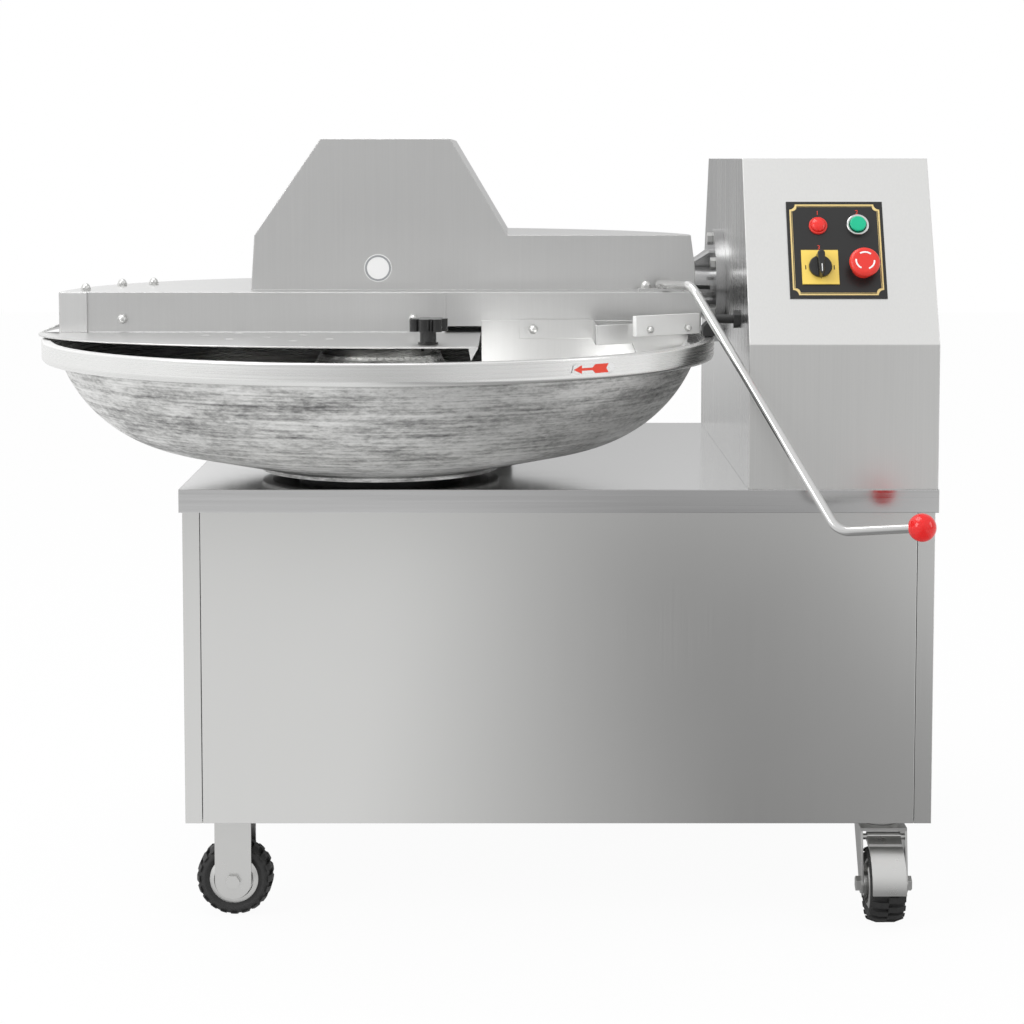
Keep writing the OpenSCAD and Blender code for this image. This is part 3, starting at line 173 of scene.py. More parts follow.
def plain(name, color, metallic, rough, edge=0.0006, speckle=0.03):
    """A plain finish with a slight change of gloss over it."""
    material, tree, shader = new_material(name, color, metallic, rough)
    cloud = noise(tree, object_coords(tree, (1.0, 1.0, 1.0)), 60.0, 3.0)
    tree.links.new(map_range(tree, cloud, 0.3, 0.7, max(0.02, rough - speckle), rough + speckle),
                   shader.inputs["Roughness"])
    add_bump(tree, shader, cloud, 0.02, 0.0003, edge)
    return material


print("material helpers ready")

# %% [markdown]
# The cutter is mostly stainless sheet, with zinc-plated castors and moulded plastic controls. An
# image could carry each finish, but a few node values stay sharp from near and far, so each finish
# is one call with its colour, its gloss and, for sheet, the way its grain runs.

# %% Make the plain and brushed finishes
panel_steel = sheet_metal("panel_steel", (0.70, 0.70, 0.69), 0.21, (700.0, 700.0, 4.0), 0.010)
tower_steel = sheet_metal("tower_steel", (0.74, 0.74, 0.73), 0.30, (500.0, 500.0, 5.0), 0.015, 0.002)
hood_steel = sheet_metal("hood_steel", (0.64, 0.64, 0.635), 0.32, (500.0, 500.0, 6.0), 0.012, 0.0015)
deck_steel = sheet_metal("deck_steel", (0.62, 0.62, 0.62), 0.14, (3.0, 600.0, 400.0), 0.04, 0.0015)
# The tower's sides: a darker copy of the tower's sheet. Its grain is turned, and its darker tone is painted
# shade.
tower_side_painted_shade = sheet_metal("tower_side_painted_shade", (0.48, 0.48, 0.475), 0.24,
                               (6.0, 90.0, 3.0), 0.05, 0.002)
bright_steel = plain("bright_steel", (0.66, 0.66, 0.655), 1.0, 0.18)
housing_steel = plain("housing_steel", (0.40, 0.40, 0.40), 1.0, 0.22)
zinc = plain("zinc", (0.62, 0.62, 0.61), 1.0, 0.30)
frame_paint = plain("frame_paint", (0.30, 0.31, 0.32), 0.0, 0.45)
black_iron = plain("black_iron", (0.035, 0.035, 0.035), 0.3, 0.40)
motor_paint = plain("motor_paint", (0.06, 0.12, 0.20), 0.0, 0.40)
box_paint = plain("box_paint", (0.55, 0.54, 0.50), 0.0, 0.45)
plate_black = plain("plate_black", (0.012, 0.012, 0.012), 0.0, 0.34)
gold_line = plain("gold_line", (0.78, 0.60, 0.26), 0.4, 0.35)
belt_rubber = plain("belt_rubber", (0.02, 0.02, 0.02), 0.0, 0.75)
tyre_rubber = plain("tyre_rubber", (0.022, 0.022, 0.022), 0.0, 0.62, 0.0008)
lamp_red = plain("lamp_red", (0.75, 0.025, 0.02), 0.0, 0.12)
button_green = plain("button_green", (0.0, 0.45, 0.24), 0.0, 0.28)
switch_yellow = plain("switch_yellow", (0.86, 0.62, 0.12), 0.0, 0.30)
black_plastic = plain("black_plastic", (0.012, 0.012, 0.012), 0.0, 0.18, 0.001)
ball_red = plain("ball_red", (0.72, 0.012, 0.012), 0.0, 0.10)
stop_red = plain("stop_red", (0.70, 0.03, 0.02), 0.0, 0.30)
# White for the printed marks, and for the painted highlight on the switch's handle.
white_print_and_highlight = plain("white_print_and_highlight", (0.82, 0.82, 0.82), 0.0, 0.40)
mark_red = plain("mark_red", (0.80, 0.05, 0.02), 0.0, 0.40)
white_plastic = plain("white_plastic", (0.86, 0.86, 0.85), 0.0, 0.32, 0.001)
# Painted shade for the screws' cross recesses.
recess_painted_shade = plain("recess_painted_shade", (0.02, 0.02, 0.02), 0.0, 0.6)
print("materials:", len(bpy.data.materials))

# %% [markdown]
# The bowl is cast, then turned. Its rim and its inside are bright with fine tool marks, and its outer
# skin keeps dark and pale casting marks. Both lie in level bands, so one noise that is drawn out
# sideways makes them, and it has no seam, as it reads the place and not the angle.

# %% Make the bowl's two finishes
def level_noise(tree, across, up, detail, rough):
    """A noise that is drawn out in level bands, as tool marks and casting marks lie round a turned bowl."""
    return noise(tree, object_coords(tree, (across, across, up)), 1.0, detail, rough)


cast_skin, tree, shader = new_material("cast_skin", (0.6, 0.6, 0.59), 0.85, 0.42)
blotch = level_noise(tree, 9.0, 46.0, 8.0, 0.66)
fine = level_noise(tree, 90.0, 260.0, 6.0, 0.72)
streak = level_noise(tree, 5.0, 330.0, 5.0, 0.62)
mottle = mixed(tree, 0.30, mixed(tree, 0.42, blotch, fine), streak)
tree.links.new(ramp(tree, mottle, [(0.385, (0.17, 0.17, 0.17)), (0.455, (0.40, 0.40, 0.395)),
                                  (0.52, (0.66, 0.66, 0.65)), (0.60, (0.84, 0.84, 0.83))]),
               shader.inputs["Base Color"])
tree.links.new(map_range(tree, mottle, 0.38, 0.62, 0.58, 0.38), shader.inputs["Roughness"])
add_bump(tree, shader, mottle, 0.3, 0.0008)

turned_rim, tree, shader = new_material("turned_rim", (0.80, 0.80, 0.79), 1.0, 0.26)
rings = level_noise(tree, 3.0, 900.0, 4.0, 0.5)
tree.links.new(map_range(tree, rings, 0.3, 0.7, 0.22, 0.34), shader.inputs["Roughness"])
add_bump(tree, shader, rings, 0.04, 0.0004)
print("materials:", len(bpy.data.materials))

# %% [markdown]
# ## Dress the CAD pieces
#
# Most CAD nodes already have the right shape, so they only take a material. The tower's sides take a darker
# copy of its sheet, with the grain running the other way: the turned grain is the sheet's own, the darker
# tone is painted shade.

# %% Give the CAD nodes their materials
dress = {
    panel_steel: ["corner_posts", "floor_plate", "front_panel", "side_panels", "rear_panel"],
    tower_steel: ["tower_shell", "tower_rear_cover"],
    hood_steel: ["lid_pan", "hood", "guard_plate", "splash_baffle", "adjusting_plate"],
    deck_steel: ["deck"],
    bright_steel: ["bowl_spindle", "bowl_cap", "knife_shaft", "knives", "knife_collars",
                   "shaft_bearings", "spindle_bearings", "lever_arm", "hinge_pins",
                   "hinge_leaves", "hinge_stands", "start_bezel"],
    housing_steel: ["shaft_housing"],
    zinc: ["housing_bolts", "lid_nuts", "rigid_forks", "swivel_plates", "fork_front_right",
           "fork_rear_right", "brake_front", "brake_rear"],
    frame_paint: ["frame_rails"],
    black_iron: ["bowl_bearing_housing", "shaft_pulley", "motor_pulley", "rim_guide"],
    motor_paint: ["main_motor", "bowl_gearbox", "bowl_motor"],
    box_paint: ["electrical_box"],
    plate_black: ["control_plate"],
    belt_rubber: ["v_belts"],
    lamp_red: ["lamp"],
    button_green: ["start_button"],
    switch_yellow: ["switch_plate"],
    black_plastic: ["switch_knob", "clamp_knob", "cable_gland"],
    ball_red: ["ball_knob"],
    stop_red: ["stop_button", "stop_collar"],
    white_plastic: ["scraper"],
}
for material, names in dress.items():
    for name in names:
        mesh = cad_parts[name].data
        mesh.materials.clear()
        mesh.materials.append(material)
# Faces that point sideways take the darker copy: painted shade.
sideways = 0.9
tower_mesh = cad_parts["tower_shell"].data
tower_mesh.materials.append(tower_side_painted_shade)
for face in tower_mesh.polygons:
    if abs(face.normal.x) > sideways:
        face.material_index = 1
print("dressed:", sum(len(names) for names in dress.values()))

# %% [markdown]
# A wheel is one CAD node of two solids. Its faces near the axle take the hub's finish and the rest
# take the rubber's.

# %% Dress the wheels
wheel_axis = {"wheel_front_left": 1, "wheel_rear_left": 1, "wheel_front_right": 0, "wheel_rear_right": 0}
hub_reach = 0.0321
for name, axis in wheel_axis.items():
    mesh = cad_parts[name].data
    low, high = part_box(name)
    centre = [(a + b) / 2 for a, b in zip(low, high)]
    mesh.materials.clear()
    mesh.materials.append(tyre_rubber)
    mesh.materials.append(zinc)
    hub_faces = 0
    for face in mesh.polygons:
        reach = 0.0
        for index in face.vertices:
            place = mesh.vertices[index].co
            flat = [place[i] - centre[i] for i in range(3) if i != axis]
            reach = max(reach, math.hypot(*flat))
        if reach < hub_reach:
            face.material_index = 1
            hub_faces += 1
    print(name, "hub faces:", hub_faces)

# %% [markdown]
# ## Helpers for new pieces
#
# Every new piece is a mesh in the row frame whose origin stays at zero.

# %% Make the piece helpers
def new_object(name, data):
    """An object that shows that data, linked to the scene."""
    holder = bpy.data.objects.new(name, data)
    bpy.context.scene.collection.objects.link(holder)
    return holder


def add_piece(name, shape, material, body):
    """A mesh in the row frame that rides on a body. shape is its vertices and its faces."""
    verts, faces = shape
    mesh = bpy.data.meshes.new(name)
    mesh.from_pydata(verts, [], faces)
    mesh.validate()
    mesh.update()
    mesh.materials.append(material)
    for face in mesh.polygons:
        face.use_smooth = False
    piece = new_object(name, mesh)
    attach(piece, body)
    print(name, "faces:", len(mesh.polygons))
    return piece


def prism(outline, thick, place):
    """Vertices and faces of a flat outline given a thickness. place turns (u, v, w) into a point."""
    count = len(outline)
    verts = [place(u, v, 0.0) for u, v in outline] + [place(u, v, thick) for u, v in outline]
    faces = [tuple(reversed(range(count))), tuple(range(count, 2 * count))]
    for i in range(count):
        j = (i + 1) % count
        faces.append((i, j, count + j, count + i))
    return verts, faces


def band(outer, inner, thick, place):
    """Vertices and faces of a flat ring between two outlines of equal counts."""
    count = len(outer)
    verts = []
    for w in (0.0, thick):
        verts += [place(u, v, w) for u, v in outer]
        verts += [place(u, v, w) for u, v in inner]
    faces = []
    for i in range(count):
        j = (i + 1) % count
        faces.append((i, count + i, count + j, j))
        faces.append((2 * count + i, 2 * count + j, 3 * count + j, 3 * count + i))
        faces.append((i, j, 2 * count + j, 2 * count + i))
        faces.append((count + i, 3 * count + i, 3 * count + j, count + j))
    return verts, faces


def merge(parts):
    """Several (vertices, faces) pairs as one."""
    verts = []
    faces = []
    for part_verts, part_faces in parts:
        shift = len(verts)
        verts += part_verts
        faces += [tuple(i + shift for i in face) for face in part_faces]
    return verts, faces


def circle(radius, count, cx=0.0, cy=0.0, start=0.0, sweep=2 * math.pi):
    """Points round a circle, anticlockwise."""
    whole = abs(sweep - 2 * math.pi) < 1e-6
    steps = count if whole else count - 1
    return [(cx + radius * math.cos(start + sweep * i / steps),
             cy + radius * math.sin(start + sweep * i / steps)) for i in range(count)]


print("piece helpers ready")

# %% [markdown]
# ## The bowl, turned by Geometry Nodes
#
# The bowl follows a rule: a profile, turned about one axis. A Screw modifier could turn it, but a
# node group can be used again for the round controls. The profile is drawn in two lengths, one for
# each finish: the skin that stays as cast, and the rim, trough and hub that are machined.

# %% Draw the bowl's profile
foot_r = 0.160
trough_pitch = 0.248
trough_z = 0.816
trough_r = 0.184
skin_z = trough_z - 0.015
skin_r = 0.189
foot_slope = math.radians(12.4)
foot_z = deck_high[2] + 0.008


def profile_arc(cx, cz, radius, start, stop, steps):
    """Points of an arc whose angle is counted from straight down."""
    points = []
    for i in range(steps + 1):
        angle = start + (stop - start) * i / steps
        points.append((cx + radius * math.sin(angle), cz - radius * math.cos(angle)))
    return points


slope_r = trough_pitch + skin_r * math.sin(foot_slope)
slope_z = skin_z - skin_r * math.cos(foot_slope)
hub_z = rim_z - 0.014
rim_round = 0.006
rim_edge = 0.001
rim_flat = 0.012
under = [(foot_r, foot_z), (foot_r, slope_z - (slope_r - foot_r) * math.tan(foot_slope))]
skin = profile_arc(trough_pitch, skin_z, skin_r, foot_slope,
                   math.acos((skin_z - rim_low) / skin_r), 40)
rim = [(rim_r - rim_round, rim_low)]
rim += [(rim_r - rim_round + rim_round * math.sin(a), rim_low + rim_round - rim_round * math.cos(a))
        for a in (math.radians(v) for v in (22.5, 45, 67.5, 90))]
rim += [(rim_r, rim_z - rim_edge), (rim_r - rim_edge, rim_z), (rim_r - rim_flat, rim_z),
        (rim_r - rim_flat - 0.0015, rim_z - rim_edge)]
trough = profile_arc(trough_pitch, trough_z, trough_r, math.acos((trough_z - rim_z + 0.012) / trough_r),
                     -math.acos((trough_z - hub_z + 0.010) / trough_r), 64)
hub = [(trough[-1][0] - 0.013, hub_z - 0.0005), (trough[-1][0] - 0.016, hub_z), (0.02005, hub_z)]
cast_points = under + skin
turned_points = rim + trough + hub
print("profile points:", len(cast_points), "cast,", len(turned_points), "turned")

# %% [markdown]
# Three node groups are built in this lesson, and all of them begin and end alike: named inputs at
# one end, and at the other real geometry with its finish. Helpers do that part.

# %% Make the node group helpers
def new_tree(name, inputs):
    """A node group with named inputs and one geometry output, and its input sockets."""
    tree = bpy.data.node_groups.new(name, "GeometryNodeTree")
    tree.interface.new_socket("Geometry", in_out="OUTPUT", socket_type="NodeSocketGeometry")
    for label, kind in inputs.items():
        tree.interface.new_socket(label, in_out="INPUT", socket_type="NodeSocket" + kind)
    return tree, tree.nodes.new("NodeGroupInput").outputs


def end_tree(tree, geometry, finish, chosen=True):
    """Makes instances real and gives the faces their finish, or only the chosen ones."""
    real = add_node(tree, "GeometryNodeRealizeInstances", {"Geometry": geometry})
    paint = add_node(tree, "GeometryNodeSetMaterial", {
        "Geometry": real.outputs["Geometry"], "Selection": chosen, "Material": finish})
    add_node(tree, "NodeGroupOutput", {"Geometry": paint.outputs["Geometry"]})


def built_by_nodes(name, tree, values, body):
    """Runs a node group on an empty mesh and keeps its result as a plain mesh."""
    host = new_object(name, bpy.data.meshes.new(name))
    modifier = host.modifiers.new("build", "NODES")
    modifier.node_group = tree
    for item in tree.interface.items_tree:
        if item.item_type == "SOCKET" and item.in_out == "INPUT":
            modifier[item.identifier] = values[item.name]
    bpy.context.view_layer.update()
    graph = bpy.context.evaluated_depsgraph_get()
    mesh = bpy.data.meshes.new_from_object(host.evaluated_get(graph), depsgraph=graph)
    host.modifiers.remove(modifier)
    host.data = mesh
    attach(host, body)
    print(name, "faces:", len(mesh.polygons))
    return host


def path_object(name, places):
    """A straight-sided curve through places."""
    curve = bpy.data.curves.new(name, "CURVE")
    curve.dimensions = "3D"
    spline = curve.splines.new("POLY")
    spline.points.add(len(places) - 1)
    for point, place in zip(spline.points, places):
        point.co = (*place, 1.0)
    return new_object(name, curve)


print("node group helpers ready")

# %% [markdown]
# To turn a profile, a flat grid is bent into shape: its X becomes the angle round the axis, and its Y
# runs along the profile, which a Sample Curve node reads. The seam and the pole are merged at the end.

# %% Build the turning group
def turning_tree(name):
    """A node group that turns a profile about an upright axis."""
    tree, given = new_tree(name, {"Profile": "Object", "Round": "Int", "Along": "Int",
                                  "Finish": "Material", "Axis": "Vector"})
    grid = add_node(tree, "GeometryNodeMeshGrid", {
        "Size X": 1.0, "Size Y": 1.0, "Vertices X": given["Round"], "Vertices Y": given["Along"]})
    info = add_node(tree, "GeometryNodeObjectInfo", {"Object": given["Profile"]})
    place = tree.nodes.new("GeometryNodeInputPosition").outputs["Position"]
    split = add_node(tree, "ShaderNodeSeparateXYZ", {"Vector": place}).outputs
    angle = math_node(tree, "MULTIPLY_ADD", split["X"], 2 * math.pi, math.pi)
    share = math_node(tree, "ADD", split["Y"], 0.5)
    sample = add_node(tree, "GeometryNodeSampleCurve", {
        "Curves": info.outputs["Geometry"], "Factor": share}, mode="FACTOR")
    reach = add_node(tree, "ShaderNodeSeparateXYZ", {"Vector": sample.outputs["Position"]}).outputs
    turned = [math_node(tree, "MULTIPLY", math_node(tree, wave, angle), reach["X"])
              for wave in ("COSINE", "SINE")]
    join = add_node(tree, "ShaderNodeCombineXYZ", {"X": turned[0], "Y": turned[1], "Z": reach["Z"]})
    shift = add_node(tree, "ShaderNodeVectorMath", {0: join.outputs["Vector"], 1: given["Axis"]},
                     operation="ADD")
    move = add_node(tree, "GeometryNodeSetPosition", {
        "Geometry": grid.outputs["Mesh"], "Position": shift.outputs["Vector"]})
    weld = add_node(tree, "GeometryNodeMergeByDistance", {
        "Geometry": move.outputs["Geometry"], "Distance": 0.00001})
    end_tree(tree, weld.outputs["Geometry"], given["Finish"])
    return tree


def turned_piece(name, points, rounds, rows, finish, axis, body):
    """A profile of (radius, height) points, turned smooth."""
    profile = path_object(name + "_profile", [(radius, 0.0, height) for radius, height in points])
    piece = built_by_nodes(name, turning, {"Profile": profile, "Round": rounds, "Along": rows,
                                           "Finish": finish, "Axis": axis}, body)
    bpy.data.objects.remove(profile)
    for face in piece.data.polygons:
        face.use_smooth = True
    return piece


turning = turning_tree("turn_profile")
print("turning group:", len(turning.nodes), "nodes")

# %% [markdown]
# The bowl's two lengths of profile are turned about the CAD bowl's own axis. Many rows along the
# profile keep the rim's small round clean.

# %% Turn the bowl
bowl_rounds = 241
bowl_rows = 6
bowl_axis = (bowl_x, bowl_y, 0.0)
bowl_pieces = []
for name, points, finish in (("bowl_cast_skin", cast_points, cast_skin),
                             ("bowl_turned_face", turned_points, turned_rim)):
    bowl_pieces.append(turned_piece(name, points, bowl_rounds, bowl_rows * len(points), finish,
                                    bowl_axis, "bowl_unit"))

# %% [markdown]
# The foot's inner face and the underside of the bowl are out of sight from above, so the CAD bowl
# keeps them: a copy of its faces there closes the two turned pieces from below.

# %% Close the bowl from below
hub_deep = 0.012
hub_reach_in = 0.03


def bowl_underside():
    """The CAD bowl's faces that the two turned pieces don't cover."""
    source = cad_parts["bowl"].data
    keep = []
    for face in source.polygons:
        centre = face.center
        reach = math.hypot(centre.x - bowl_x, centre.y - bowl_y)
        inside_foot = reach < foot_r + 0.0001 and centre.z < hub_z - hub_deep
        in_trough = face.normal.z > 0.5 and reach > hub_reach_in
        if inside_foot and not in_trough:
            keep.append(face)
    verts = []
    faces = []
    seen = {}
    for face in keep:
        corners = []
        for index in face.vertices:
            if index not in seen:
                seen[index] = len(verts)
                verts.append(tuple(source.vertices[index].co))
            corners.append(seen[index])
        faces.append(tuple(corners))
    return verts, faces


bowl_pieces.append(add_piece("bowl_underside", bowl_underside(), cast_skin, "bowl_unit"))
for piece in bowl_pieces:
    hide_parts("bowl")
print("bowl pieces:", len(bowl_pieces))

# %% [markdown]
# ## Marks on the control plate
#
# The plate's gilt border and its marks are printed on the real one. A picture could hold them, but
# thin solid shapes stay crisp in a close view. Everything on the sloped front is placed with one
# function: u runs across, v up the slope and w outwards, from the control plate's centre.

# %% Place things on the slope
tower_y0 = tower_low[1]
kink_z = 0.762
lean = 0.116
rise = tower_high[2] - kink_z
slope_length = math.hypot(lean, rise)
plate_low, plate_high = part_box("control_plate")
plate_cx = (plate_low[0] + plate_high[0]) / 2
slope_up = Vector((0.0, lean / slope_length, rise / slope_length))
slope_out = Vector((0.0, -rise / slope_length, lean / slope_length))
slope_mid = Vector((plate_cx, tower_y0, kink_z)) + slope_up * (slope_length / 2)


def on_slope(u, v, w):
    """A point over the control plate, w above the tower's sheet."""
    return tuple(slope_mid + Vector((u, 0.0, 0.0)) + slope_up * v + slope_out * w)


def notched(half_u, half_v, notch, steps=6):
    """An oblong outline whose corners are scooped out by quarter circles."""
    points = []
    for su, sv, start in ((1, 1, -90), (-1, 1, 0), (-1, -1, 90), (1, -1, 180)):
        for i in range(steps + 1):
            angle = math.radians(start - 90 * i / steps)
            points.append((su * half_u + notch * math.cos(angle), sv * half_v + notch * math.sin(angle)))
    return points


plate_top = 0.002
line_thick = 0.00025
thick_line = (0.0590, 0.0645, 0.0075, 0.0021)
thin_line = (0.0560, 0.0615, 0.0062, 0.0005)
line_parts = []
for half_u, half_v, notch, width in (thick_line, thin_line):
    outer = notched(half_u, half_v, notch)
    inner = notched(half_u - width, half_v - width, notch)
    line_parts.append(band(outer, inner, line_thick, lambda u, v, w: on_slope(u, v, plate_top + w)))
add_piece("plate_border", merge(line_parts), gold_line, "machine")

# %% [markdown]
# Plain numbers stand where a plate like this has its labels. A text object is turned into a mesh, and
# the mesh is moved onto the slope.

# %% Number the controls
def number_mesh(text, height):
    """The vertices and faces of a short text, centred, in its own plane."""
    curve = bpy.data.curves.new("number", "FONT")
    curve.body = text
    curve.size = height
    curve.align_x = "CENTER"
    curve.align_y = "CENTER"
    curve.extrude = 0.0001
    holder = new_object("number", curve)
    bpy.context.view_layer.update()
    graph = bpy.context.evaluated_depsgraph_get()
    mesh = bpy.data.meshes.new_from_object(holder.evaluated_get(graph), depsgraph=graph)
    verts = [tuple(v.co) for v in mesh.vertices]
    faces = [tuple(p.vertices) for p in mesh.polygons]
    bpy.data.objects.remove(holder)
    return verts, faces


lamp_at = (-0.0225, 0.0335)
start_at = (0.029, 0.0335)
switch_at = (-0.0225, -0.0255)
stop_at = (0.033, -0.0255)
number_height = 0.0085
number_lift = 0.00015
number_parts = []
for text, u, v in (("1", lamp_at[0], lamp_at[1] + 0.0185), ("2", start_at[0], start_at[1] + 0.0195),
                   ("3", switch_at[0] - 0.0005, switch_at[1] + 0.0282)):
    verts, faces = number_mesh(text, number_height)
    placed = [on_slope(u + x, v + y, plate_top + number_lift + z) for x, y, z in verts]
    number_parts.append((placed, faces))
add_piece("plate_numbers", merge(number_parts), mark_red, "machine")

# %% [markdown]
# The stop button's head carries three white arcs, and the yellow plate has two small ticks. The knob
# has a white strip along its pointed end, a painted highlight.

# %% Mark the stop button and the switch plate, and paint a highlight on the knob
def arc_band(radius, width, start, sweep, count, cx, cy):
    """An open band's outline along an arc."""
    outer = circle(radius + width / 2, count, cx, cy, start, sweep)
    inner = circle(radius - width / 2, count, cx, cy, start, sweep)
    return outer + inner[::-1]


stem_height = 0.0113
head_height = 0.012
head_top = plate_top + stem_height + head_height
arc_parts = []
for i in range(3):
    outline = arc_band(0.0118, 0.0022, math.radians(50 + 120 * i), math.radians(72), 14, *stop_at)
    arc_parts.append(prism(outline, 0.0003, lambda u, v, w: on_slope(u, v, head_top - 0.0001 + w)))
add_piece("stop_arcs", merge(arc_parts), white_print_and_highlight, "stop")


def switch_mark(u_low, u_high, v_low, v_high, level):
    """A thin upright oblong by the switch's axis, at that level over the sheet."""
    cu, cv = switch_at
    outline = [(cu + u_low, cv + v_low), (cu + u_high, cv + v_low),
               (cu + u_high, cv + v_high), (cu + u_low, cv + v_high)]
    return prism(outline, 0.0002, lambda u, v, w: on_slope(u, v, level + w))


switch_plate_top = 0.004
tick_wide = 0.0012
tick_parts = [switch_mark(u, u + tick_wide, -0.0035, 0.0025, switch_plate_top) for u in (-0.0195, 0.0175)]
add_piece("switch_ticks", merge(tick_parts), black_plastic, "machine")
base_at = switch_plate_top + 0.0003
handle_top = base_at + 0.005 + 0.013
# A pale strip along the handle's pointed end: a painted highlight.
highlight_half = tick_wide / 2
add_piece("switch_pointer", switch_mark(-highlight_half, highlight_half, -0.0135, -0.0030, handle_top),
          white_print_and_highlight, "switch")

# %% [markdown]
# ## The lid's end plate
#
# At the left end of the lid's front a short plate covers the gap down to the guard plate. It is a
# wedge in plan, so that its face turns a little away from the strip beside it. A prism over its plan
# is enough.

# %% Fit the end plate
end_x0, end_x1 = lid_low[0] + 0.0258, lid_low[0] + 0.0645
end_y = bowl_y - 0.0002
end_plan = [(end_x0, end_y), (end_x0, end_y - 0.0006), (end_x1, end_y - 0.0050), (end_x1, end_y)]
end_low = rim_z + 0.0042
end_height = lid_high[2] - 0.0004 - end_low
add_piece("lid_end_plate", prism(end_plan, end_height, lambda u, v, w: (u, v, end_low + w)),
          hood_steel, "lid_unit")
print("end plate from", round(end_x0, 4), "to", round(end_x1, 4))

# %% [markdown]
# ## The sticker on the hood and the arrow on the rim
#
# The round sticker is a blank white disc with a grey ring. The arrow shows which way the bowl turns.
# A flat arrow would stand off the rim at its ends, so its outline is bent round the rim's radius.

# %% Stick the disc and the arrow on
hood_front_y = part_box("hood")[0][1]
disc_x, disc_z, disc_r = -0.1404, 0.8498, 0.019


def on_hood(u, v, w):
    """A point on the hood's front, w in front of it."""
    return (disc_x + u, hood_front_y - w, disc_z + v)


disc_steps = 64
add_piece("hood_disc", prism(circle(disc_r, disc_steps), 0.0003, on_hood), white_print_and_highlight, "lid_unit")
ring_shape = band(circle(disc_r * 0.94, disc_steps), circle(disc_r * 0.80, disc_steps), 0.0005, on_hood)
add_piece("hood_disc_ring", ring_shape, frame_paint, "lid_unit")

upper_half = [(-0.0205, 0.0), (-0.0125, 0.0052), (-0.0125, 0.0016), (-0.0015, 0.0016), (0.0015, 0.0055),
              (0.0155, 0.0055), (0.013, 0.0)]
arrow_outline = upper_half + [(u, -v) for u, v in upper_half[-2:0:-1]]
backing_r = 0.0075
backing_outline = (circle(backing_r, 12, -0.0175, 0.0, math.radians(90), math.pi) +
                   circle(backing_r, 12, 0.0145, 0.0, math.radians(-90), math.pi))
arrow_deg = -52.0
arrow_stretch = 1.5


def on_rim(u, v, w):
    """A point on the rim's band, u to the right, v up and w outwards."""
    angle = math.radians(arrow_deg) + arrow_stretch * u / rim_r
    reach = rim_r + w
    return (bowl_x + reach * math.cos(angle), bowl_y + reach * math.sin(angle), (rim_z + rim_low) / 2 + v)


add_piece("arrow_backing", prism(backing_outline, 0.00015, on_rim), white_print_and_highlight, "bowl_unit")
add_piece("rim_arrow", prism(arrow_outline, 0.0003, on_rim), mark_red, "bowl_unit")

# %% [markdown]
# ## Rounded controls
#
# The CAD controls are plain cylinders and cones. Here the turning node group makes them again from
# rounded profiles of the same sizes, and each is then moved onto the slope. The switch's handle is a
# tapered prism that narrows to a point.

# %% Turn the controls
control_rounds = 65
control_rows = 4


def turned_on_slope(name, points, at, finish, body, replaced, slot_name):
    """A turned piece on the slope. points are (radius, height over the sheet)."""
    piece = turned_piece(name, points, control_rounds, control_rows * len(points), finish,
                         (0.0, 0.0, 0.0), body)
    for vertex in piece.data.vertices:
        vertex.co = on_slope(at[0] + vertex.co.x, at[1] + vertex.co.y, vertex.co.z)
    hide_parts(replaced)


def dome(radius, low, high, steps=8):
    """A rounded top from the edge to the axis."""
    return [(radius * math.cos(math.radians(90 * i / steps)),
             low + (high - low) * math.sin(math.radians(90 * i / steps))) for i in range(steps + 1)]


lamp_dome = [(0.0095, 0.0048)] + dome(0.0095, 0.0062, 0.0109)
lamp_edge = [(0.012, plate_top), (0.012, 0.0043), (0.0115, 0.005), (0.0097, 0.005)]
start_edge = [(0.01475, plate_top), (0.01475, 0.0066), (0.0142, 0.0078), (0.0130, 0.0080),
              (0.0112, 0.0076), (0.0108, 0.0052)]
start_face = [(0.0105, 0.0083), (0.0105, 0.0106), (0.0101, 0.0113), (0.0092, 0.0116), (0.00002, 0.0116)]
stop_edge = [(0.015, plate_top), (0.015, 0.0066), (0.0142, 0.0077), (0.0082, 0.0079), (0.0082, 0.0020)]
stop_face = [(0.008, 0.0022), (0.008, 0.0133), (0.0140, 0.0136), (0.0180, 0.0155), (0.0198, 0.0180),
             (0.0200, 0.0205), (0.0192, 0.0230), (0.0172, 0.0246), (0.0150, 0.0252), (0.00002, 0.0253)]
for control in (
        ("lamp_lens", lamp_dome, lamp_at, lamp_red, "machine", "lamp", "lamp_red"),
        ("lamp_ring", lamp_edge, lamp_at, stop_red, "machine", "lamp", "lamp_red"),
        ("start_ring", start_edge, start_at, bright_steel, "machine", "start_bezel", "bright_steel"),
        ("start_cap", start_face, start_at, button_green, "start", "start_button", "button_green"),
        ("stop_ring", stop_edge, stop_at, stop_red, "machine", "stop_collar", "ball_red"),
        ("stop_head", stop_face, stop_at, stop_red, "stop", "stop_button", "ball_red")):
    turned_on_slope(*control)

# %% [markdown]
# The switch's handle isn't round, so it is lofted: the same outline at three heights, a little
# smaller each time, joined by side faces.

# %% Loft the switch's handle
def loft(levels, place):
    """A closed solid through outlines of equal counts. levels are (outline, height)."""
    count = len(levels[0][0])
    verts = [place(u, v, height) for outline, height in levels for u, v in outline]
    faces = [tuple(reversed(range(count)))]
    for row in range(len(levels) - 1):
        for i in range(count):
            j = (i + 1) % count
            faces.append((row * count + i, row * count + j, (row + 1) * count + j, (row + 1) * count + i))
    faces.append(tuple((len(levels) - 1) * count + i for i in range(count)))
    return verts, faces


def handle_outline(half, shrink):
    """The switch handle's outline: round at the top and pointed below."""
    top_v = 0.0130
    top = [(half * math.cos(math.radians(a)), top_v + half * math.sin(math.radians(a)) - shrink)
           for a in range(0, 181, 20)]
    low = [(-half * 0.72, -0.0120), (0.0, -0.0188 + shrink), (half * 0.72, -0.0120)]
    return [(switch_at[0] + u, switch_at[1] + v) for u, v in top + low]


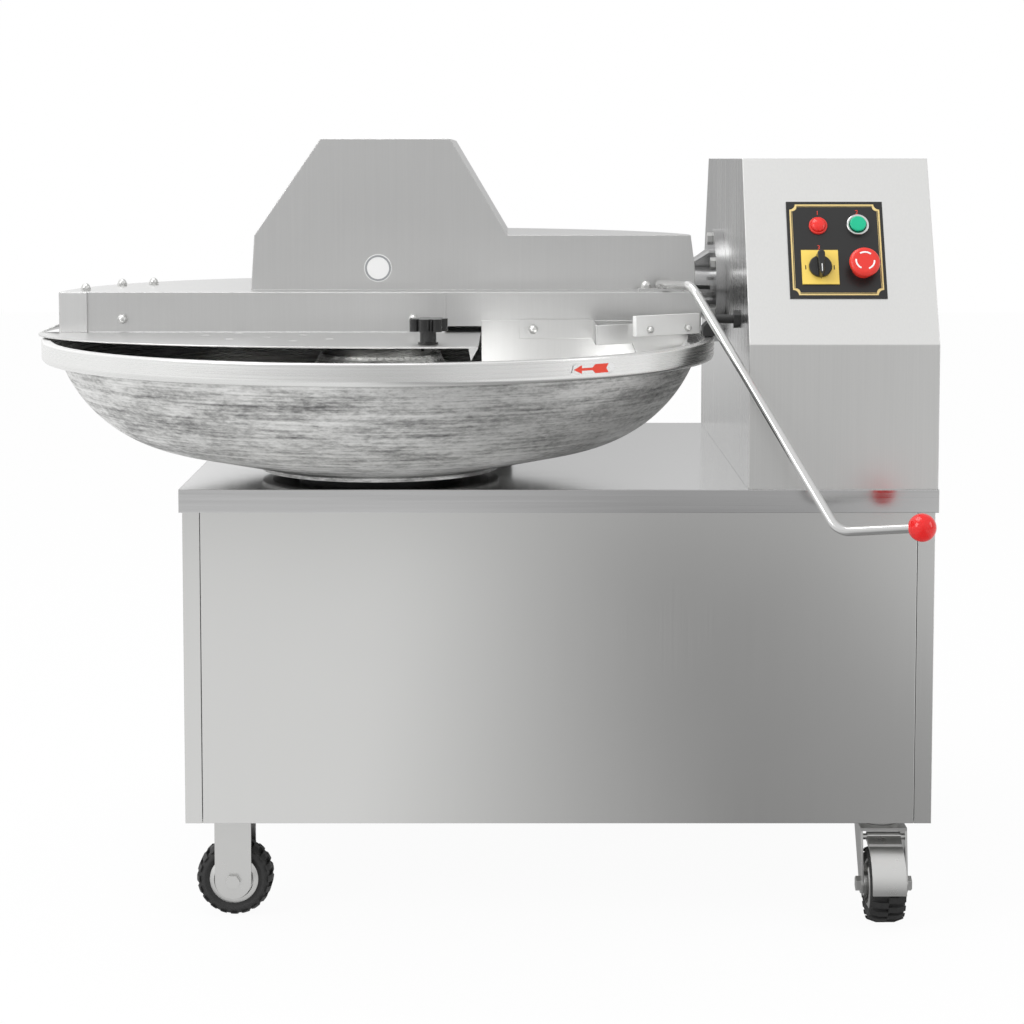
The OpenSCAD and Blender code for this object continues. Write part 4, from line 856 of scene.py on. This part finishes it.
boss_steps = 48
boss_wall = circle(0.0150, boss_steps, *switch_at)
boss = loft([(boss_wall, base_at), (boss_wall, base_at + 0.0035),
             (circle(0.0140, boss_steps, *switch_at), base_at + 0.0050)], on_slope)
grip = loft([(handle_outline(0.0056, 0.0), base_at + 0.0048),
             (handle_outline(0.0048, 0.0003), base_at + 0.0165),
             (handle_outline(0.0038, 0.0012), base_at + 0.0180)], on_slope)
knob = add_piece("switch_handle", merge([boss, grip]), black_plastic, "switch")
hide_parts("switch_knob")

# %% [markdown]
# ## The lever's rod
#
# The CAD rod is made of straight lengths. A real one is bent from one bar, so a node group rounds the
# corners of a curve and gives it the bar's thickness. The lug under its end is a plain plate.

# %% Bend the rod with Geometry Nodes
ball_low, ball_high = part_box("ball_knob")
ball_mid = Vector([(a + b) / 2 for a, b in zip(ball_low, ball_high)])
lid_top = lid_high[2]
rod_r = 0.006
bend_r = 0.028
rod_points = [
    Vector((bowl_x + 0.380, bowl_y + 0.030, lid_top + 0.009)),
    Vector((bowl_x + 0.412, bowl_y - 0.110, lid_top + 0.015)),
    Vector((bowl_x + 0.580, bowl_y - 0.300, lid_top - 0.279)),
    ball_mid,
]


def bar_tree(name):
    """A node group that rounds a curve's corners and sweeps a circle along it."""
    tree, given = new_tree(name, {"Path": "Object", "Bend": "Float", "Thick": "Float",
                                  "Finish": "Material"})
    info = add_node(tree, "GeometryNodeObjectInfo", {"Object": given["Path"]})
    fillet = add_node(tree, "GeometryNodeFilletCurve", {
        "Curve": info.outputs["Geometry"], "Radius": given["Bend"], "Count": 12}, mode="POLY")
    ring = add_node(tree, "GeometryNodeCurvePrimitiveCircle", {"Radius": given["Thick"], "Resolution": 24})
    sweep = add_node(tree, "GeometryNodeCurveToMesh", {
        "Curve": fillet.outputs["Curve"], "Profile Curve": ring.outputs["Curve"], "Fill Caps": True})
    end_tree(tree, sweep.outputs["Mesh"], given["Finish"])
    return tree


path = path_object("lever_path", rod_points)
rod = built_by_nodes("lever_rod", bar_tree("bend_bar"), {
    "Path": path, "Bend": bend_r, "Thick": rod_r, "Finish": bright_steel}, "lid_unit")
bpy.data.objects.remove(path)
for face in rod.data.polygons:
    face.use_smooth = len(face.vertices) == 4

lug_outline = [(bowl_x + 0.350, bowl_y + 0.016), (bowl_x + 0.412, bowl_y + 0.016),
               (bowl_x + 0.412, bowl_y + 0.044), (bowl_x + 0.350, bowl_y + 0.044)]
lug_thick = 0.004
lug = add_piece("lever_lug", prism(lug_outline, lug_thick, lambda u, v, w: (u, v, lid_top + w)),
                bright_steel, "lid_unit")
for piece in (rod, lug):
    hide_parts("lever_arm")

# %% [markdown]
# ## Screws by Geometry Nodes
#
# The panels are held by rows of small pan-head screws. A loop could copy them, but a node group does
# it in one step: it puts a screw on every point it is given, turned along one direction, and the
# result is kept as a plain mesh. The master screw is made once, with a dark cross on its head: a thin
# plate of painted shade where the cross recess would be.

# %% Make the master screw
def screw_master():
    """A small pan-head screw along +Z with a dark cross of painted shade for its recess, as a mesh object."""
    radius = 0.004
    height = 0.0022
    steps = 20
    rings = [(radius, 0.0), (radius, height * 0.35), (radius * 0.86, height * 0.8), (radius * 0.55, height)]
    verts, faces = loft([(circle(reach, steps), level) for reach, level in rings],
                        lambda u, v, w: (u, v, w))
    # The cross is a thin dark plate on the head, painted shade for the recess.
    cross = []
    arm, half = radius * 0.5, radius * 0.11
    for box_u, box_v in ((arm, half), (half, arm)):
        outline = [(-box_u, -box_v), (box_u, -box_v), (box_u, box_v), (-box_u, box_v)]
        cross.append(prism(outline, 0.00015, lambda u, v, w: (u, v, height + w)))
    head_faces = len(faces)
    verts, faces = merge([(verts, faces)] + cross)
    mesh = bpy.data.meshes.new("screw_master")
    mesh.from_pydata(verts, [], faces)
    mesh.update()
    mesh.materials.append(zinc)
    mesh.materials.append(recess_painted_shade)
    for index, face in enumerate(mesh.polygons):
        face.material_index = 0 if index < head_faces else 1
    return new_object("screw_master", mesh)


screw = screw_master()
print("screw faces:", len(screw.data.polygons))

# %% [markdown]
# The group places the copies, makes them real and sets the head's finish. A material selection leaves
# out the dark cross of painted shade, so that it keeps its own.

# %% Build the scattering group
def scatter_tree(name):
    """A node group that puts an object on every vertex, turned along a given direction."""
    tree, given = new_tree(name, {"Places": "Object", "Piece": "Object", "Facing": "Vector",
                                  "Finish": "Material"})
    places = add_node(tree, "GeometryNodeObjectInfo", {"Object": given["Places"]})
    piece = add_node(tree, "GeometryNodeObjectInfo", {"Object": given["Piece"]})
    turn = add_node(tree, "FunctionNodeAlignRotationToVector", {"Vector": given["Facing"]}, axis="Z")
    copies = add_node(tree, "GeometryNodeInstanceOnPoints", {
        "Points": places.outputs["Geometry"], "Instance": piece.outputs["Geometry"],
        "Rotation": turn.outputs["Rotation"]})
    head = add_node(tree, "GeometryNodeMaterialSelection", {"Material": given["Finish"]})
    end_tree(tree, copies.outputs["Instances"], given["Finish"], head.outputs["Selection"])
    return tree


scatter = scatter_tree("screws_on_points")
print("scattering group:", len(scatter.nodes), "nodes")

# %% [markdown]
# Each row's places are worked out from the box of the panel that it holds. Screws on the sheet's
# outside start just under its face, so that no gap shows.

# %% Place the screw rows
def point_object(name, points):
    """An object whose vertices are the given places."""
    mesh = bpy.data.meshes.new(name)
    mesh.from_pydata(points, [], [])
    return new_object(name, mesh)


def evenly(low, high, inset, count):
    """Evenly spaced values from low to high, with an inset at both ends."""
    return [low + inset + (high - low - 2 * inset) * i / (count - 1) for i in range(count)]


side_low, side_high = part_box("side_panels")
rear_low, rear_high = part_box("rear_panel")
cover_low, cover_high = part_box("tower_rear_cover")
stand_low, stand_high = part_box("hinge_stands")
edge = 0.012
sunk = 0.0001
under_lip = 0.045
cover_edge = 0.007
rear_y = deck_high[1] - 0.0041
cover_y = cover_high[1] - 0.0011
stand_z = deck_high[2] + 0.005 - sunk
pad_z = 0.132 + sunk
pad_inset = 0.062
stand_inset = 0.04
side_y = evenly(side_low[1], side_high[1], edge, 4)
side_z = (side_low[2] + edge, side_high[2] - under_lip)
rear_z = (rear_low[2] + edge, rear_high[2] - under_lip)
cover_z = evenly(cover_low[2], cover_high[2], cover_edge, 2)
stand_x = evenly(stand_low[0], stand_high[0], stand_inset, 2)
pad_x = evenly(deck_low[0], deck_high[0], pad_inset, 2)
pad_y = evenly(deck_low[1], deck_high[1], pad_inset, 2)
screw_rows = (
    ("stand_screws", (0.0, 0.0, 1.0), [(x + u, stand_low[1] + v, stand_z) for x in stand_x
                                       for u in (-0.031, 0.031) for v in (0.010, 0.068)]),
    ("castor_screws", (0.0, 0.0, -1.0), [(x + u, y + v, pad_z) for x in pad_x for y in pad_y
                                         for u in (-0.041, 0.041) for v in (-0.034, 0.034)]),
    ("rear_screws", (0.0, 1.0, 0.0), [(x, rear_y, z) for z in rear_z
                                      for x in evenly(rear_low[0], rear_high[0], edge, 5)]),
    ("cover_screws", (0.0, 1.0, 0.0), [(x, cover_y, z) for z in cover_z
                                       for x in evenly(cover_low[0], cover_high[0], cover_edge, 3)]),
    ("left_screws", (-1.0, 0.0, 0.0), [(side_low[0] + sunk, y, z) for z in side_z for y in side_y]),
    ("right_screws", (1.0, 0.0, 0.0), [(side_high[0] - sunk, y, z) for z in side_z for y in side_y]),
)
for name, facing, places in screw_rows:
    holder = point_object(name + "_places", places)
    built_by_nodes(name, scatter, {"Places": holder, "Piece": screw, "Facing": facing, "Finish": zinc},
                   "machine")
    bpy.data.objects.remove(holder)
bpy.data.objects.remove(screw)

# %% [markdown]
# ## Floor, light and camera
#
# The floor and the backdrop are white to the camera. Bare metal looks like what it mirrors, so it sees
# another room: a floor and walls that change from pale to dark across their width, and a bright
# ceiling. A set of real cards would do the same, but ramps on the floor and the world need no objects.

# %% Make the staging helpers
def grey(value):
    """A neutral colour of that value."""
    return (value, value, value)


def mixed_shader(tree, factor, first, second):
    """Two shaders mixed. The factor is a number or a socket."""
    return add_node(tree, "ShaderNodeMixShader", {0: factor, 1: first, 2: second}).outputs["Shader"]


def split_coords(tree, kind):
    """The X, Y and Z of a kind of texture coordinates, as sockets."""
    coords = tree.nodes.new("ShaderNodeTexCoord").outputs[kind]
    return add_node(tree, "ShaderNodeSeparateXYZ", {"Vector": coords}).outputs


def glow(tree, color=(1.0, 1.0, 1.0, 1.0)):
    """An emission shader of strength 1, white if no colour is given."""
    return add_node(tree, "ShaderNodeEmission", {"Color": color, "Strength": 1.0}).outputs["Emission"]


print("staging helpers ready")

# %% [markdown]
# The floor is nearly white to the camera, and keeps a trace of the cutter's shadow. To glossy rays it
# is a card that is bright on the left, dark in the middle and bright again at the right.

# %% Lay the floor
floor_mesh = bpy.data.meshes.new("floor")
floor_half = 12.0
floor_mesh.from_pydata([(-floor_half, -floor_half, 0), (floor_half, -floor_half, 0),
                        (floor_half, floor_half, 0), (-floor_half, floor_half, 0)], [], [(0, 1, 2, 3)])
floor = new_object("floor", floor_mesh)
floor_paint, tree, shader = new_material("floor_paint", (0.80, 0.80, 0.80), 0.0, 0.9)
spot = split_coords(tree, "Object")
across = map_range(tree, spot["X"], -1.0, 1.5, 0.0, 1.0)
near = ramp(tree, across, [(0.32, grey(0.90)), (0.46, grey(0.52)), (0.56, grey(0.31)), (0.75, grey(0.42)),
                           (0.90, grey(1.0))])
far = ramp(tree, across, [(0.02, grey(0.98)), (0.26, grey(0.42)), (0.70, grey(0.42)), (1.0, grey(1.0))])
away = map_range(tree, spot["Y"], -3.7, -4.2, 0.0, 1.0)
front = mixed(tree, away, near, grey(0.55), "RGBA")
behind = map_range(tree, spot["Y"], -0.4, 0.4, 0.0, 1.0)
mirrored = mixed(tree, behind, front, far, "RGBA")
white_share = 0.95
soft = mixed_shader(tree, white_share, shader.outputs["BSDF"], glow(tree))
path = tree.nodes.new("ShaderNodeLightPath")
shown = mixed_shader(tree, path.outputs["Is Camera Ray"], shader.outputs["BSDF"], soft)
shown = mixed_shader(tree, path.outputs["Is Glossy Ray"], shown, glow(tree, mirrored))
tree.links.new(shown, tree.nodes["Material Output"].inputs["Surface"])
floor_mesh.materials.append(floor_paint)
print("floor half width:", floor_half)

# %% [markdown]
# The world is the rest of the room. The camera sees it white, and the metal sees four parts of it:
# low and high, in front and behind.

# %% Make the room
world = bpy.data.worlds.new("room")
bpy.context.scene.world = world
world.use_nodes = True
tree = world.node_tree
background = tree.nodes["Background"]
ray = split_coords(tree, "Generated")
across = map_range(tree, ray["X"], -1.0, 1.0, 0.0, 1.0)
low_front = ramp(tree, across, [(0.10, grey(1.15)), (0.35, grey(0.76)), (0.50, grey(0.54)),
                                (0.65, grey(0.70)), (0.80, grey(0.88)), (0.95, grey(0.55))])
high = map_range(tree, ray["Z"], 0.10, 0.55, 0.0, 1.0)
front = mixed(tree, high, low_front, grey(0.97), "RGBA")
low_back = ramp(tree, across, [(0.28, grey(1.15)), (0.42, grey(0.40)), (0.62, grey(0.45)),
                               (0.85, grey(1.05))])
high_back = ramp(tree, across, [(0.42, grey(1.22)), (0.50, grey(0.69)), (0.54, grey(0.78))])
above = map_range(tree, ray["Z"], 0.06, 0.16, 0.0, 1.0)
backdrop = mixed(tree, above, low_back, high_back, "RGBA")
behind = map_range(tree, ray["Y"], -0.2, 0.3, 0.0, 1.0)
tree.links.new(mixed(tree, behind, front, backdrop, "RGBA"), background.inputs["Color"])
background.inputs["Strength"].default_value = 1.0
path = tree.nodes.new("ShaderNodeLightPath")
seen = mixed_shader(tree, path.outputs["Is Camera Ray"], background.outputs["Background"], glow(tree))
tree.links.new(seen, tree.nodes["World Output"].inputs["Surface"])
print("room:", world.name)

# %% [markdown]
# Three soft area lights are enough, because the room gives most of the light: a key from the left, a
# weaker one overhead, and a small fill from the right.

# %% Hang the lights
def soft_light(name, place, target, width, height, power):
    """An area light that looks at a point."""
    lamp = bpy.data.lights.new(name, "AREA")
    lamp.shape = "RECTANGLE"
    lamp.size = width
    lamp.size_y = height
    lamp.energy = power
    holder = new_object(name, lamp)
    holder.location = place
    holder.rotation_euler = (Vector(target) - Vector(place)).to_track_quat("-Z", "Y").to_euler()


soft_light("key_left", (-2.6, -2.2, 2.3), (0.0, 0.0, 0.6), 1.4, 2.0, 34)
soft_light("overhead", (-0.6, -0.2, 3.0), (-0.1, 0.0, 0.7), 1.8, 1.4, 26)
soft_light("fill_right", (3.0, -1.2, 1.6), (0.3, 0.0, 0.6), 0.7, 1.6, 8)

# %% [markdown]
# A long lens from chest height gives a product photograph's calm perspective. Its vertical shift
# keeps the cabinet's uprights nearly parallel, as a shift lens does.

# %% Set the camera
camera = bpy.data.cameras.new("camera")
camera.lens = 82.27
camera.sensor_width = 36.0
camera.shift_y = -0.1653
camera.clip_end = 50.0
eye = new_object("camera", camera)
eye.location = (0.044, -3.231, 1.000)
eye.rotation_euler = (math.radians(85.5), 0.0, 0.0)
bpy.context.scene.camera = eye
view = bpy.context.scene.view_settings
view.view_transform = "Standard"
print("camera at", tuple(eye.location))
